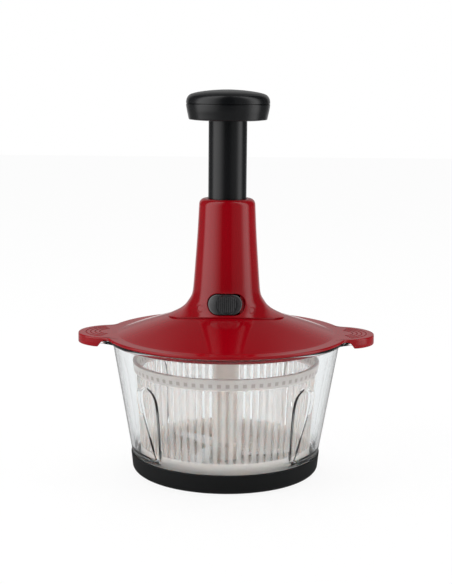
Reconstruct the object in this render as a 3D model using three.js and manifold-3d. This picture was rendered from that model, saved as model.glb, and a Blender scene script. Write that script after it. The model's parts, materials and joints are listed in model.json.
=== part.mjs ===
// Push-down food chopper: a red lid with a plunger in its neck, a clear bowl on a black base ring, and a
// slotted basket inside. Pressing the knob drives a nut down a spiral rod, which turns the blades. A spring
// lifts it again.
// Millimetres, +Z up, the front faces -Y, and the origin is the centre of the base ring's underside.
import * as THREE from "three";
import { mergeVertices } from "three/addons/utils/BufferGeometryUtils.js";
import Module from "manifold-3d";

const wasm = await Module();
wasm.setup();

// Clearances, cutters and facets
const fitGap = 0.3;
const runGap = 0.4;
const overrun = 6;
const largeFacets = 32;
const knobFacets = 28;
const mediumFacets = 20;
const smallFacets = 12;
const tinyFacets = 8;
const screwFacets = 6;

// Base ring
const ringHeight = 16.6;
const ringLip = 0.9;
const ringTaper = 1.1;
const ringCurveHeight = 6;
const ringCurveDepth = 9;
const ringSole = 3;
const ringSoleWidth = 14;
const ringLipRound = 0.5;

// Bowl
const bowlStepRadius = 75.3;
const bowlMouthRadius = 90.9;
const bowlHeight = 110.5;
const bowlWall = 2.4;
const bowlFloor = 2.8;
const bowlFootInset = 2.1;
const bowlFootRound = 5;
const rimRadius = 94;
const rimThickness = 3;
const lugFillet = 9;
const gripBottomZ = 20;
const gripTopZ = 81;
const gripHalfWidth = 8.8;
const gripDepth = 3.6;
const gripCount = 4;
const gripHeightShares = [0, 0.16, 0.36, 0.58, 0.76, 0.88, 0.96, 1];
const gripWidthShares = [0.03, 0.3, 0.6, 0.88, 1, 0.88, 0.56, 0.05];

// Pivot pin and its boss in the bowl's floor
const pinRadius = 3.5;
const pinReach = 26;
const pinBossWall = 3;
const pinRound = 1;

// Basket
const basketHeight = 91.5;
const basketFootHeight = 1.6;
const basketFootWidth = 3;
const basketFootInset = 5;
const basketFloor = 2;
const basketFloorGap = 0.5;
const basketRimGap = 10.55;
const basketNeckInset = 3.2;
const basketWall = 2;
const basketBandHeight = 8;
const basketBandStep = 1.2;
const basketBandInset = 1.4;
const basketRimWall = 3.6;
const basketFloorRound = 3;
const basketRimRound = 0.6;
const slotCount = 72;
const slotWidth = 2.45;
const slotBottomZ = 22;
const slotTopLand = 0.8;
const drainCount = 12;
const drainWidth = 2.4;
const drainInner = 28;
const drainEdge = 10;
const slotPhaseShare = 0.22;

// Blade rotor
const hubRadius = 14;
const hubHeight = 13;
const hubShoulder = 2;
const hubGap = 0.3;
const columnFootRadius = 10.95;
const columnTopRadius = 10.4;
const columnWall = 2;
const coreRadius = 6.8;
const coreCollar = 3.5;
const bladeThickness = 1.2;
const bladeTipGap = 4;
const bladeWidth = 15;
const bladeTipWidth = 3;
const bladeSweep = 13;
const bladePitch = 3.8;
const bladeFirst = 2;
const bladeTang = 6;
const bladeTangWidth = 9;
const bladeBevelShare = 0.3;
const bladeSteps = 8;

// Lid
const flangeRadius = 96;
const flangeThickness = 2.2;
const lidSkirtGap = 1.5;
const lidSkirtWall = 2;
const lidSkirtDepth = 4.8;
const creaseInset = 1.25;
const creaseStep = 0.3;
const domeWall = 2.2;
const domeMidRadius = 50;
const domeMidRise = 11.7;
const domeHubRadius = 24;
const domeHubRise = 18.6;
const domeHoleRadius = 23;
const domeSteps = 6;
const earCentre = 90.5;
const earRadius = 28;
const earFillet = 8;
const earSkirtWall = 2;
const earSkirtDepth = 5.3;
const earSkirtInset = 2.6;
const earSkirtRound = 3.5;
const ridgeCount = 4;
const ridgeFirst = 10.4;
const ridgePitch = 3.6;
const ridgeWidth = 1.3;
const ridgeHeight = 0.5;
const ridgeSpan = 1.35;
const ridgeFacets = 6;

// Seal in the lid's skirt
const sealHeight = 1.8;
const sealSeat = 0.7;
const sealLift = 1.5;

// Neck housing
const neckHeight = 107.6;
const neckWaistHeight = 38.4;
const neckWaistRadius = 26.45;
const neckTopRadius = 22.3;
const neckLipHeight = 5.2;
const neckLipWidth = 4.15;
const neckWall = 2.4;
const neckTopWall = 3.4;
const neckBaseHalfX = 46.5;
const neckBaseHalfY = 32;
const neckBaseEdge = 0.8;
const neckFacets = 28;
const flareHeightShares = [0, 0.1, 0.208, 0.339, 0.473, 0.604, 0.735, 1];
const flareSpreadShares = [1, 0.74, 0.516, 0.327, 0.207, 0.107, 0.045, 0];
const taperHeightShares = [0.3, 0.65];
const taperNarrowShares = [0.35, 0.723];
const lipSteps = 4;

// Lock button, its slot and its hook
const lockTravel = 2;
const lockSlotWidth = 29.8;
const lockSlotHeight = 17;
const lockEndGap = 0.5;
const lockSideGap = 0.7;
const lockProud = 0.7;
const lockRibCount = 8;
const lockRibPitch = 1.6;
const lockRibWidth = 0.8;
const lockRibProud = 0.6;
const lockRibInset = 2.6;
const hookThickness = 2.5;
const hookWidth = 3;
const hookStartAngle = 2.0;
const hookEndAngle = 4.8;
const hookFacets = 24;

// Mechanism cover under the dome
const coverHeight = 5;
const coverThickness = 3;
const coverWall = 2;
const coverOuterRadius = 36;
const coverHubRadius = 9;
const coverHubRise = 3;
const coverHubDrop = 2.5;
const postRadius = 3.2;
const postCircle = 28;
const postCount = 4;

// Screws
const screwRadius = 1.25;
const screwHeadRadius = 2.6;
const screwHeadHeight = 1.8;
const screwRound = 0.6;
const neckScrewX = 30.6;
const neckScrewGrip = 6;
const coverScrewGrip = 7;

// Spindle: spiral rod, bush, washer, coupler and pin
const bushFlange = 1.5;
const bushWall = 2.1;
const bushFlangeRadius = 8.6;
const washerThickness = 1;
const washerRadius = 8;
const journalRadius = 4;
const rodCollarRadius = 7;
const rodCollarHeight = 1.8;
const rodHalfWidth = 4.2;
const rodHalfThickness = 1.8;
const rodLead = 40;
const rodEngage = 7;
const rodStepsPerTurn = 24;
const couplerRadius = 9;
const couplerHeight = 10.6;
const couplerFloor = 2.5;
const couplerStandoff = 1.5;
const hexRadius = 4.9;
const hexDepth = 14;
const hexSides = 6;
const crossPinRadius = 1.2;
const crossPinDrop = 4;

// Plunger
const stroke = 58;
const knobStandoff = 3;
const tubeRadius = 15.1;
const tubeWall = 2.6;
const tubeCap = 3;
const collarRadius = 20.2;
const collarThickness = 3;
const nutPark = 7.15;
const nutFlange = 1.7;
const nutFlangeRadius = 17;
const nutHeight = 6;
const nutPlay = 0.6;
const knobRadius = 32.8;
const knobHeight = 23.9;
const knobWall = 2.4;
const knobSeamRise = 12.8;
const knobSeamGap = 0.3;
const knobFootRadius = 30.2;
const knobSocket = 5.4;
const knobWeb = 3;
const knobShoulderRadius = 30;
const knobShoulderRise = 20;
const knobFlatShare = 0.42;
const knobLocator = 2.5;
const knobBellyShares = [[0, 0], [0.16, 0.05], [0.54, 0.38], [0.87, 0.76], [1, 1]];

// Return spring
const wireRadius = 0.6;
const springRadius = 13.6;
const springTurns = 8;
const springStepsPerTurn = 8;
const springSides = 5;

// Finishes
const finishes = {
  red: { color: 0x8e1420, roughness: 0.32, metalness: 0 },
  black: { color: 0x1f2022, roughness: 0.45, metalness: 0 },
  rubber: { color: 0x262729, roughness: 0.75, metalness: 0 },
  charcoal: { color: 0x323335, roughness: 0.5, metalness: 0 },
  clear: { color: 0xe8eef0, roughness: 0.08, metalness: 0, transparent: true, opacity: 0.3 },
  milky: { color: 0xc4beb9, roughness: 0.4, metalness: 0, transparent: true, opacity: 0.8 },
  cream: { color: 0xcdbaa8, roughness: 0.5, metalness: 0 },
  steel: { color: 0xb9bcc0, roughness: 0.25, metalness: 1 },
  white: { color: 0xe4e2de, roughness: 0.5, metalness: 0 },
  silicone: { color: 0xd8d8d6, roughness: 0.7, metalness: 0 },
};

// Heights that follow from the stack of pieces, from the floor up
const bowlBottomZ = ringSole + fitGap;
const bowlFloorZ = bowlBottomZ + bowlFloor;
const basketFootZ = bowlFloorZ + fitGap;
const basketUnderZ = basketFootZ + basketFootHeight;
const basketFloorZ = basketUnderZ + basketFloor;
const pinBossZ = basketFloorZ + fitGap;
const hubBottomZ = pinBossZ + hubGap;
const hubTopZ = hubBottomZ + hubHeight;
const flangeUnderZ = bowlHeight + fitGap;
const flangeTopZ = flangeUnderZ + flangeThickness;
const neckTopZ = flangeTopZ + neckHeight;
const neckWaistZ = flangeTopZ + neckWaistHeight;
const coverTopZ = flangeTopZ + coverHeight;
const coverUnderZ = coverTopZ - coverThickness;
const coverHubTopZ = coverTopZ + coverHubRise;
const coverHubUnderZ = coverUnderZ - coverHubDrop;
const bushTopZ = coverHubTopZ + fitGap + bushFlange;
const washerZ = bushTopZ + fitGap;
const rodCollarZ = washerZ + washerThickness + fitGap;
const spiralZ = rodCollarZ + rodCollarHeight;
const nutPressedZ = spiralZ + nutPark;
const nutZ = nutPressedZ + stroke;
const collarZ = nutZ + nutFlange + fitGap;
const collarTopZ = collarZ + collarThickness;
const guideZ = collarTopZ + fitGap;
const guideTopZ = neckTopZ - neckTopWall - fitGap;
const hookZ = collarTopZ - stroke + runGap;
const lockSlotZ = hookZ + hookThickness / 2;
const knobUnderZ = neckTopZ + stroke + knobStandoff;
const knobSeamZ = knobUnderZ + knobSeamRise;
const knobTopZ = knobUnderZ + knobHeight;
const couplerTopZ = coverHubUnderZ - runGap;
const couplerUnderZ = couplerTopZ - couplerHeight;
const columnTopZ = couplerUnderZ - couplerStandoff;
const tubeBore = tubeRadius - tubeWall;
const rodTopZ = nutZ + nutHeight + rodEngage;

// Radii that follow from the bowl's wall, of the lid's skirt and of the basket inside
const lidSkirtRadius = bowlMouthRadius - bowlWall - lidSkirtGap;
const creaseRadius = lidSkirtRadius - creaseInset;
const basketFloorRadius = bowlOuter(bowlBottomZ) - bowlFootInset - bowlWall - basketFloorGap;
const basketRimRadius = bowlOuter(basketHeight) - bowlWall - basketRimGap;
const basketRimInner = basketRimRadius - basketRimWall;
const basketBandRadius = basketRimRadius - basketBandInset;
const basketNeckRadius = basketRimRadius - basketNeckInset;
const drainOuter = basketFloorRadius - drainEdge;
const bladeReach = basketFloorRadius - basketWall - bladeTipGap;

// Geometry helpers
function withoutExtras(geometry) {
  geometry.deleteAttribute("normal");
  geometry.deleteAttribute("uv");
  return mergeVertices(geometry);
}

// A closed geometry becomes a solid: flat triangles are dropped, and its faces are turned outwards
function solid(geometry) {
  const merged = withoutExtras(geometry);
  const corners = merged.getAttribute("position").array;
  const index = merged.index.array;
  const triangles = [];
  let volume = 0;
  const [a, b, c] = [new THREE.Vector3(), new THREE.Vector3(), new THREE.Vector3()];
  for (let i = 0; i < index.length; i += 3) {
    const [p, q, r] = [index[i], index[i + 1], index[i + 2]];
    if (p === q || q === r || r === p) continue;
    triangles.push([p, q, r]);
    a.fromArray(corners, p * 3);
    b.fromArray(corners, q * 3);
    c.fromArray(corners, r * 3);
    volume += a.dot(b.cross(c));
  }
  const turned = volume < 0 ? triangles.map(([p, q, r]) => [p, r, q]) : triangles;
  const mesh = new wasm.Mesh({
    numProp: 3,
    vertProperties: new Float32Array(corners),
    triVerts: new Uint32Array(turned.flat()),
  });
  return new wasm.Manifold(mesh);
}

const join = (first, ...others) => others.reduce((whole, other) => whole.add(other), first);
const cut = (first, ...others) => others.reduce((whole, other) => whole.subtract(other), first);

// A profile of [radius, height] points turned round the Z axis
function revolve(profile, facets = largeFacets) {
  const points = profile.map(([radius, height]) => new THREE.Vector2(radius, height));
  points.push(points[0].clone());
  return solid(new THREE.LatheGeometry(points, facets).rotateX(Math.PI / 2));
}

function rod(radius, bottom, top, facets = smallFacets) {
  return revolve([[0, bottom], [radius, bottom], [radius, top], [0, top]], facets);
}

function tube(inner, outer, bottom, top, facets = smallFacets) {
  return revolve([[inner, bottom], [outer, bottom], [outer, top], [inner, top]], facets);
}

// A plan outline of [x, y] points raised from one height to another
function prism(outline, bottom, top) {
  const shape = new THREE.Shape(outline.map(([x, y]) => new THREE.Vector2(x, y)));
  const options = { depth: top - bottom, bevelEnabled: false };
  return solid(new THREE.ExtrudeGeometry(shape, options).translate(0, 0, bottom));
}

function block(centreX, centreY, centreZ, sizeX, sizeY, sizeZ) {
  return solid(new THREE.BoxGeometry(sizeX, sizeY, sizeZ).translate(centreX, centreY, centreZ));
}

// Points of an arc round a centre, both ends included
function arc(centreX, centreY, radius, start, end, steps) {
  return Array.from({ length: steps + 1 }, (_, i) => {
    const angle = start + ((end - start) * i) / steps;
    return [centreX + radius * Math.cos(angle), centreY + radius * Math.sin(angle)];
  });
}

// Points of a quarter of an ellipse from one end to the other, turning from flat to upright or back
function quarter(centreX, centreY, radiusX, radiusY, start, end, steps) {
  return arc(0, 0, 1, start, end, steps).map(([x, y]) => [centreX + radiusX * x, centreY + radiusY * y]);
}

// Rings of [x, y, z] points, all of one count, skinned into a solid with both ends closed
function loft(rings) {
  const count = rings[0].length;
  const centre = (ring) => [0, 1, 2].map((axis) => ring.reduce((sum, point) => sum + point[axis], 0) / count);
  const points = [...rings.flat(), centre(rings[0]), centre(rings[rings.length - 1])];
  const index = [];
  const last = (rings.length - 1) * count;
  for (let i = 0; i < count; i += 1) {
    const next = (i + 1) % count;
    index.push(points.length - 2, next, i, points.length - 1, last + i, last + next);
    for (let level = 0; level < last; level += count) {
      index.push(level + i, level + next, level + count + next);
      index.push(level + i, level + count + next, level + count + i);
    }
  }
  const geometry = new THREE.BufferGeometry();
  geometry.setAttribute("position", new THREE.Float32BufferAttribute(points.flat(), 3));
  geometry.setIndex(index);
  return solid(geometry);
}

const turnDegrees = (angle) => (angle * 180) / Math.PI;
const spin = (body, angle) => body.rotate([0, 0, turnDegrees(angle)]);
const fullTurn = 2 * Math.PI;
const quarterTurn = Math.PI / 2;

// A solid becomes a named mesh with its finish
function piece(name, body, finish) {
  const { vertProperties, triVerts } = body.getMesh();
  const geometry = new THREE.BufferGeometry();
  geometry.setAttribute("position", new THREE.Float32BufferAttribute(vertProperties, 3));
  geometry.setIndex(new THREE.Uint32BufferAttribute(triVerts, 1));
  geometry.computeVertexNormals();
  const mesh = new THREE.Mesh(geometry, new THREE.MeshStandardMaterial(finishes[finish]));
  mesh.name = name;
  return mesh;
}

function group(...pieces) {
  const made = new THREE.Group();
  made.add(...pieces);
  return made;
}

// Outer radius of the bowl's wall at a height
function bowlOuter(z) {
  const climb = (z - ringHeight) / (bowlHeight - rimThickness - ringHeight);
  return bowlStepRadius + (bowlMouthRadius - bowlStepRadius) * climb;
}

// Outer radius of the basket's slotted wall at a height
function basketOuter(z) {
  const climb = (z - basketUnderZ) / (basketHeight - basketBandHeight - basketUnderZ);
  return basketFloorRadius + (basketNeckRadius - basketFloorRadius) * climb;
}

// Height of the dome's top at a distance from the axis: a parabola through its crease, its middle and its hub
function domeTop(radius) {
  const knots = [[creaseRadius, 0], [domeMidRadius, domeMidRise], [domeHubRadius, domeHubRise]];
  const rise = knots.reduce((sum, [r, z], i) => {
    const others = knots.filter((_, j) => j !== i);
    return sum + others.reduce((product, [other]) => (product * (radius - other)) / (r - other), z);
  }, 0);
  return flangeTopZ + creaseStep + rise;
}

// The dome's top from its crease in to its hole, or a path that stands off from it
function domePath(distance) {
  return Array.from({ length: domeSteps + 1 }, (_, i) => {
    const radius = creaseRadius + ((domeHoleRadius - creaseRadius) * i) / domeSteps;
    return [radius, domeTop(radius) + distance];
  });
}

// A disc with two round ears on the X axis, filleted where they meet
function earedOutline(discRadius, centre, radius, fillet) {
  const reach = discRadius + fillet;
  const near = radius + fillet;
  const lean = Math.acos((reach ** 2 + centre ** 2 - near ** 2) / (2 * reach * centre));
  const [filletX, filletY] = [reach * Math.cos(lean), reach * Math.sin(lean)];
  const opening = Math.atan2(filletY, filletX - centre);
  const ear = arc(centre, 0, radius, 0, opening, tinyFacets);
  const corner = arc(filletX, filletY, fillet, opening + Math.PI, lean + Math.PI, 4);
  const side = arc(0, 0, discRadius, lean, quarterTurn, tinyFacets);
  const upper = [...ear, ...corner.slice(1), ...side.slice(1)];
  const mirrored = upper.map(([x, y]) => [-x, y]).reverse().slice(1);
  const half = [...upper, ...mirrored];
  const lower = half.map(([x, y]) => [x, -y]).reverse().slice(1, -1);
  return [...half, ...lower];
}

// The rounded lower corner of the bowl, or a path that stands off from it
function bowlFootPath(distance) {
  const centre = bowlOuter(bowlBottomZ) - bowlFootInset - bowlFootRound;
  const radius = bowlFootRound + distance;
  return quarter(centre, bowlBottomZ + bowlFootRound, radius, radius, -quarterTurn, 0, 3);
}

// Base ring: a soft shoe with a flat sole and a rolled lower edge
function makeBaseRing() {
  const topRadius = bowlStepRadius + ringLip;
  const innerRadius = bowlStepRadius - bowlFootInset + fitGap;
  const waist = topRadius - ringTaper;
  const sole = waist - ringCurveDepth;
  const profile = [
    [sole - ringSoleWidth, 0],
    ...quarter(sole, ringCurveHeight, ringCurveDepth, ringCurveHeight, -quarterTurn, 0, 5),
    [topRadius, ringHeight - ringLipRound],
    [topRadius - ringLipRound, ringHeight],
    [innerRadius, ringHeight],
    ...bowlFootPath(fitGap).reverse(),
    [sole - ringSoleWidth, ringSole],
  ];
  return piece("base_ring", revolve(profile), "rubber");
}

// A finger grip pressed into the bowl: teardrop sections down the wall, wider and deeper by a margin
function makeGrip(margin) {
  const low = gripBottomZ - margin;
  const high = gripTopZ + margin;
  const rings = gripHeightShares.map((share, i) => {
    const z = low + (high - low) * share;
    const width = gripHalfWidth * gripWidthShares[i] + margin;
    const depth = gripDepth * gripWidthShares[i] + margin;
    const section = arc(0, 0, 1, 0, fullTurn, tinyFacets).slice(1);
    return section.map(([x, y]) => [bowlOuter(z) + depth * x, width * y, z]);
  });
  return loft(rings);
}

function makeGrips(margin) {
  const grips = Array.from({ length: gripCount }, (_, i) => {
    return spin(makeGrip(margin), (fullTurn * (i + 1 / 2)) / gripCount);
  });
  return join(...grips);
}

// Bowl: tapered clear cup with a stepped foot, a rim with two lugs, and four finger grips
function makeBowl() {
  const stepZ = ringHeight + fitGap;
  const rimUnderZ = bowlHeight - rimThickness;
  const footRadius = bowlOuter(bowlBottomZ) - bowlFootInset;
  const outside = revolve([
    [0, bowlBottomZ],
    ...bowlFootPath(0),
    [bowlOuter(stepZ) - bowlFootInset, stepZ],
    [bowlOuter(stepZ), stepZ],
    [bowlMouthRadius, rimUnderZ],
    [bowlMouthRadius, bowlHeight],
    [0, bowlHeight],
  ]);
  const innerRound = bowlFootRound / 2;
  const innerFoot = footRadius - bowlWall - innerRound;
  const inside = revolve([
    [0, bowlFloorZ],
    ...quarter(innerFoot, bowlFloorZ + innerRound, innerRound, innerRound, -quarterTurn, 0, 2),
    [bowlOuter(stepZ) - bowlFootInset - bowlWall, stepZ],
    [bowlOuter(stepZ + bowlWall) - bowlWall, stepZ + bowlWall],
    [bowlOuter(bowlHeight + overrun) - bowlWall, bowlHeight + overrun],
    [0, bowlHeight + overrun],
  ]);
  const lugRadius = earRadius - earSkirtWall - lockSideGap;
  const lugs = prism(earedOutline(rimRadius, earCentre, lugRadius, lugFillet), rimUnderZ, bowlHeight);
  const boss = rod(pinRadius + pinBossWall, bowlFloorZ - bowlFloor / 2, pinBossZ);
  const socket = rod(pinRadius + fitGap, bowlFloorZ - bowlFloor / 2, pinBossZ + overrun);
  const shell = cut(join(outside, lugs), makeGrips(0), cut(inside, makeGrips(bowlWall)));
  return piece("bowl", cut(join(shell, boss), socket), "clear");
}

function makePivotPin() {
  const bottom = bowlFloorZ - bowlFloor / 2 + fitGap;
  const top = pinBossZ + pinReach;
  const tip = [[pinRadius, top - pinRound], [pinRadius - pinRound, top], [0, top]];
  const profile = [[0, bottom], [pinRadius, bottom], ...tip];
  return piece("bowl_pivot_pin", revolve(profile, smallFacets), "steel");
}

// Basket: slotted tapered wall, plain rim band, ribbed foot and a floor with drain slots
function makeBasket() {
  const bandZ = basketHeight - basketBandHeight;
  const holeRadius = pinRadius + pinBossWall + runGap;
  const wallFoot = basketOuter(basketUnderZ);
  const outside = [
    [holeRadius, basketUnderZ],
    [wallFoot - basketFootInset - basketFootWidth, basketUnderZ],
    [wallFoot - basketFootInset - basketFootWidth, basketFootZ],
    [wallFoot - basketFootInset, basketFootZ],
    [wallFoot - basketFootInset, basketUnderZ],
    ...quarter(
      wallFoot - basketFloorRound, basketUnderZ + basketFloorRound, basketFloorRound, basketFloorRound,
      -quarterTurn, 0, 2,
    ),
    [basketNeckRadius, bandZ - basketBandStep],
    [basketBandRadius, bandZ],
    [basketRimRadius, basketHeight - basketRimRound],
    [basketRimRadius - basketRimRound, basketHeight],
  ];
  const inside = [
    [basketRimInner, basketHeight],
    [basketNeckRadius - basketWall, bandZ - basketBandStep],
    [basketOuter(basketFloorZ) - basketWall, basketFloorZ],
    [holeRadius, basketFloorZ],
  ];
  const wall = revolve([...outside, ...inside], slotCount / 2);
  const slotTopZ = bandZ - basketBandStep - slotTopLand;
  const slotHeight = slotTopZ - slotBottomZ;
  const slotLength = 2 * basketRimRadius + overrun;
  const slots = Array.from({ length: slotCount / 2 }, (_, i) => {
    const across = block(0, 0, slotBottomZ + slotHeight / 2, slotLength, slotWidth, slotHeight);
    return spin(across, (fullTurn * (i + 1 / 2)) / slotCount);
  });
  const drainLength = drainOuter - drainInner;
  const drains = Array.from({ length: drainCount }, (_, i) => {
    const drain = block(drainInner + drainLength / 2, 0, basketUnderZ, drainLength, drainWidth, overrun);
    return spin(drain, (fullTurn * i) / drainCount);
  });
  const basket = cut(wall, join(...slots), join(...drains));
  return piece("basket", spin(basket, (fullTurn * slotPhaseShare) / slotCount), "milky");
}

const bladeZ = (level) => hubBottomZ + bladeFirst + bladePitch * level;
const bladeAngle = (level) => (fullTurn * level) / 3;

// One blade: a swept, chisel-ground sickle whose edge thins towards the cutting side, with its tang
function makeBladeBody() {
  const root = hubRadius;
  const rings = Array.from({ length: bladeSteps + 1 }, (_, i) => {
    const share = i / bladeSteps;
    const x = root + (bladeReach - root) * share;
    const width = bladeTipWidth + (bladeWidth - bladeTipWidth) * Math.sqrt(1 - share ** 3);
    const middle = bladeSweep * share ** 2;
    const [back, edge] = [middle - width / 2, middle + width / 2];
    const bevel = edge - width * bladeBevelShare;
    return [[x, back, 0], [x, edge, 0], [x, bevel, bladeThickness], [x, back, bladeThickness]];
  });
  const tangLength = root - bladeTang;
  const tang = block(bladeTang + tangLength / 2 + fitGap / 2, 0, bladeThickness / 2, tangLength + fitGap,
    bladeTangWidth, bladeThickness);
  return join(loft(rings), tang);
}

function makeBlade(name, level) {
  const body = spin(makeBladeBody(), bladeAngle(level)).translate([0, 0, bladeZ(level)]);
  return piece(name, body, "steel");
}

// Blade column: milky tube on a hub that grips the three tangs
function makeBladeColumn() {
  const coreBore = coreRadius + columnWall / 2 + fitGap;
  const outside = revolve([
    [pinRadius + runGap, hubBottomZ],
    [hubRadius, hubBottomZ],
    [hubRadius, hubTopZ - hubShoulder],
    [columnFootRadius, hubTopZ],
    [columnTopRadius, columnTopZ],
    [coreBore, columnTopZ],
    [coreBore, hubTopZ],
    [pinRadius + runGap, hubTopZ],
  ], mediumFacets);
  const tangSlots = [0, 1, 2].map((level) => {
    const length = hubRadius - bladeTang + fitGap;
    const slot = block(bladeTang - fitGap + (length + overrun) / 2, 0, bladeThickness / 2, length + overrun,
      bladeTangWidth + 2 * fitGap, bladeThickness + 2 * fitGap);
    return spin(slot, bladeAngle(level)).translate([0, 0, bladeZ(level)]);
  });
  return piece("blade_column", cut(outside, ...tangSlots), "milky");
}

// Cream core inside the column: it turns on the pin below and takes the hexagon drive above
function makeColumnCore() {
  const bottom = hubTopZ + fitGap;
  const top = columnTopZ;
  const collar = coreRadius + columnWall / 2;
  const bore = pinRadius + runGap;
  const boreTop = pinBossZ + pinReach + runGap;
  const body = revolve([
    [bore, bottom],
    [collar, bottom],
    [collar, bottom + coreCollar],
    [coreRadius, bottom + coreCollar],
    [coreRadius, top - coreCollar],
    [collar, top - coreCollar],
    [collar, top],
    [0, top],
    [0, boreTop],
    [bore, boreTop],
  ], smallFacets);
  const socketRadius = hexRadius + runGap;
  const socket = rod(socketRadius, top - hexDepth + couplerStandoff - runGap, top + overrun, hexSides);
  return piece("column_core", cut(body, socket), "cream");
}

// Lid: domed shell with a flat flange, two ears with hanging skirts and grip ridges, and posts underneath
function makeLid() {
  const skirtBottomZ = flangeUnderZ - lidSkirtDepth;
  const grooveLow = skirtBottomZ + sealLift - fitGap;
  const grooveHigh = grooveLow + sealHeight + 2 * fitGap;
  const grooveRadius = lidSkirtRadius - sealSeat;
  const skirtInner = lidSkirtRadius - lidSkirtWall;
  const dome = revolve([
    [skirtInner, skirtBottomZ],
    [lidSkirtRadius, skirtBottomZ],
    [lidSkirtRadius, grooveLow],
    [grooveRadius, grooveLow],
    [grooveRadius, grooveHigh],
    [lidSkirtRadius, grooveHigh],
    [lidSkirtRadius, flangeUnderZ],
    [lidSkirtRadius, flangeTopZ],
    ...domePath(0),
    ...domePath(-domeWall).reverse().slice(0, -1),
    [skirtInner, domeTop(skirtInner) - domeWall],
  ]);
  const plate = prism(earedOutline(flangeRadius, earCentre, earRadius, earFillet), flangeUnderZ, flangeTopZ);
  const plateBore = lidSkirtRadius - lidSkirtWall / 2;
  const plateHole = rod(plateBore, flangeUnderZ - overrun, flangeTopZ + overrun, largeFacets);
  const ears = [makeEar(1), makeEar(-1)];
  const postAngles = Array.from({ length: postCount }, (_, i) => (fullTurn * (i + 1 / 2)) / postCount);
  const posts = postAngles.map((angle) => {
    const postTopZ = domeTop(postCircle) - domeWall / 2;
    const post = tube(screwRadius + fitGap, postRadius, coverTopZ + fitGap, postTopZ, tinyFacets);
    return spin(post.translate([postCircle, 0, 0]), angle);
  });
  const neckHoles = [1, -1].map((side) => {
    const hole = rod(screwRadius + fitGap, flangeTopZ, neckTopZ, tinyFacets);
    return hole.translate([side * neckScrewX, 0, 0]);
  });
  const body = join(dome, cut(plate, plateHole), ...ears, ...posts);
  return piece("lid_dome", cut(body, ...neckHoles), "red");
}

// One ear's hanging skirt, with rounded lower corners, and the ridges on its top
function makeEar(side) {
  const skirtOuter = arc(earCentre, 0, earRadius, -quarterTurn, quarterTurn, 2 * tinyFacets);
  const skirtInner = arc(earCentre, 0, earRadius - earSkirtWall, quarterTurn, -quarterTurn, 2 * tinyFacets);
  const start = flangeRadius + earSkirtInset;
  const lowZ = flangeUnderZ - earSkirtDepth;
  const band = prism([...skirtOuter, ...skirtInner], lowZ, flangeTopZ - flangeThickness / 2);
  const sideView = [
    [start, flangeTopZ],
    ...arc(start + earSkirtRound, lowZ + earSkirtRound, earSkirtRound, Math.PI, Math.PI + quarterTurn, 4),
    [earCentre + earRadius + overrun, lowZ],
    [earCentre + earRadius + overrun, flangeTopZ],
  ];
  const keep = prism(sideView, -earRadius - overrun, earRadius + overrun).rotate([90, 0, 0]);
  const ridges = Array.from({ length: ridgeCount }, (_, i) => {
    const inner = ridgeFirst + ridgePitch * i;
    const outline = [
      ...arc(earCentre, 0, inner + ridgeWidth, -ridgeSpan, ridgeSpan, ridgeFacets),
      ...arc(earCentre, 0, inner, ridgeSpan, -ridgeSpan, ridgeFacets),
    ];
    return prism(outline, flangeTopZ - ridgeHeight, flangeTopZ + ridgeHeight);
  });
  const ear = join(band.intersect(keep), ...ridges);
  return side > 0 ? ear : spin(ear, Math.PI);
}

function makeLidSeal() {
  const low = flangeUnderZ - lidSkirtDepth + sealLift;
  const inner = lidSkirtRadius - sealSeat + fitGap;
  const outer = bowlOuter(low) - bowlWall - fitGap;
  const high = low + sealHeight;
  const lip = outer - sealSeat;
  const profile = [[inner, low], [lip, low], [outer, low + sealHeight / 2], [lip, high], [inner, high]];
  return piece("lid_seal", revolve(profile), "silicone");
}

// Outline of the neck from its seat up, as [radius, height] points, for one half-width of its oval base
function neckPath(baseHalf) {
  const baseZ = domeTop(baseHalf) + fitGap + neckBaseEdge;
  const flare = flareHeightShares.map((share, i) => {
    const radius = neckWaistRadius + (baseHalf - neckWaistRadius) * flareSpreadShares[i];
    return [radius, baseZ + (neckWaistZ - baseZ) * share];
  });
  const shoulderZ = neckTopZ - neckLipHeight;
  const taper = taperHeightShares.map((share, i) => {
    const radius = neckWaistRadius + (neckTopRadius - neckWaistRadius) * taperNarrowShares[i];
    return [radius, neckWaistZ + (shoulderZ - neckWaistZ) * share];
  });
  return [...flare, ...taper, [neckTopRadius, shoulderZ]];
}

// A path moved along its own normals, outwards when the distance is positive
function offsetPath(path, distance) {
  return path.map(([radius, z], i) => {
    const [lowRadius, lowZ] = path[Math.max(i - 1, 0)];
    const [highRadius, highZ] = path[Math.min(i + 1, path.length - 1)];
    const step = distance / Math.hypot(highRadius - lowRadius, highZ - lowZ);
    return [radius + step * (highZ - lowZ), z - step * (highRadius - lowRadius)];
  });
}

// Oval rings through a path for the X half-width and one for the Y half-width
function neckRings(distance) {
  const across = offsetPath(neckPath(neckBaseHalfX), distance);
  const along = offsetPath(neckPath(neckBaseHalfY), distance);
  return across.map(([radiusX, heightX], i) => {
    const [radiusY, heightY] = along[i];
    return arc(0, 0, 1, 0, fullTurn, neckFacets).slice(1).map(([x, y]) => {
      return [radiusX * x, radiusY * y, heightX * x ** 2 + heightY * y ** 2];
    });
  });
}

const circle = (radius, z) => arc(0, 0, radius, 0, fullTurn, neckFacets).slice(1).map(([x, y]) => [x, y, z]);

// The neck's foot, sunk below the dome before the dome's shape is cut from it
function footRing() {
  return arc(0, 0, 1, 0, fullTurn, neckFacets).slice(1).map(([x, y]) => {
    return [neckBaseHalfX * x, neckBaseHalfY * y, flangeTopZ];
  });
}

function lockOutline(width, height) {
  const end = height / 2;
  const straight = width / 2 - end;
  return [
    ...arc(straight, 0, end, -quarterTurn, quarterTurn, 8),
    ...arc(-straight, 0, end, quarterTurn, quarterTurn + Math.PI, 8),
  ];
}

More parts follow.
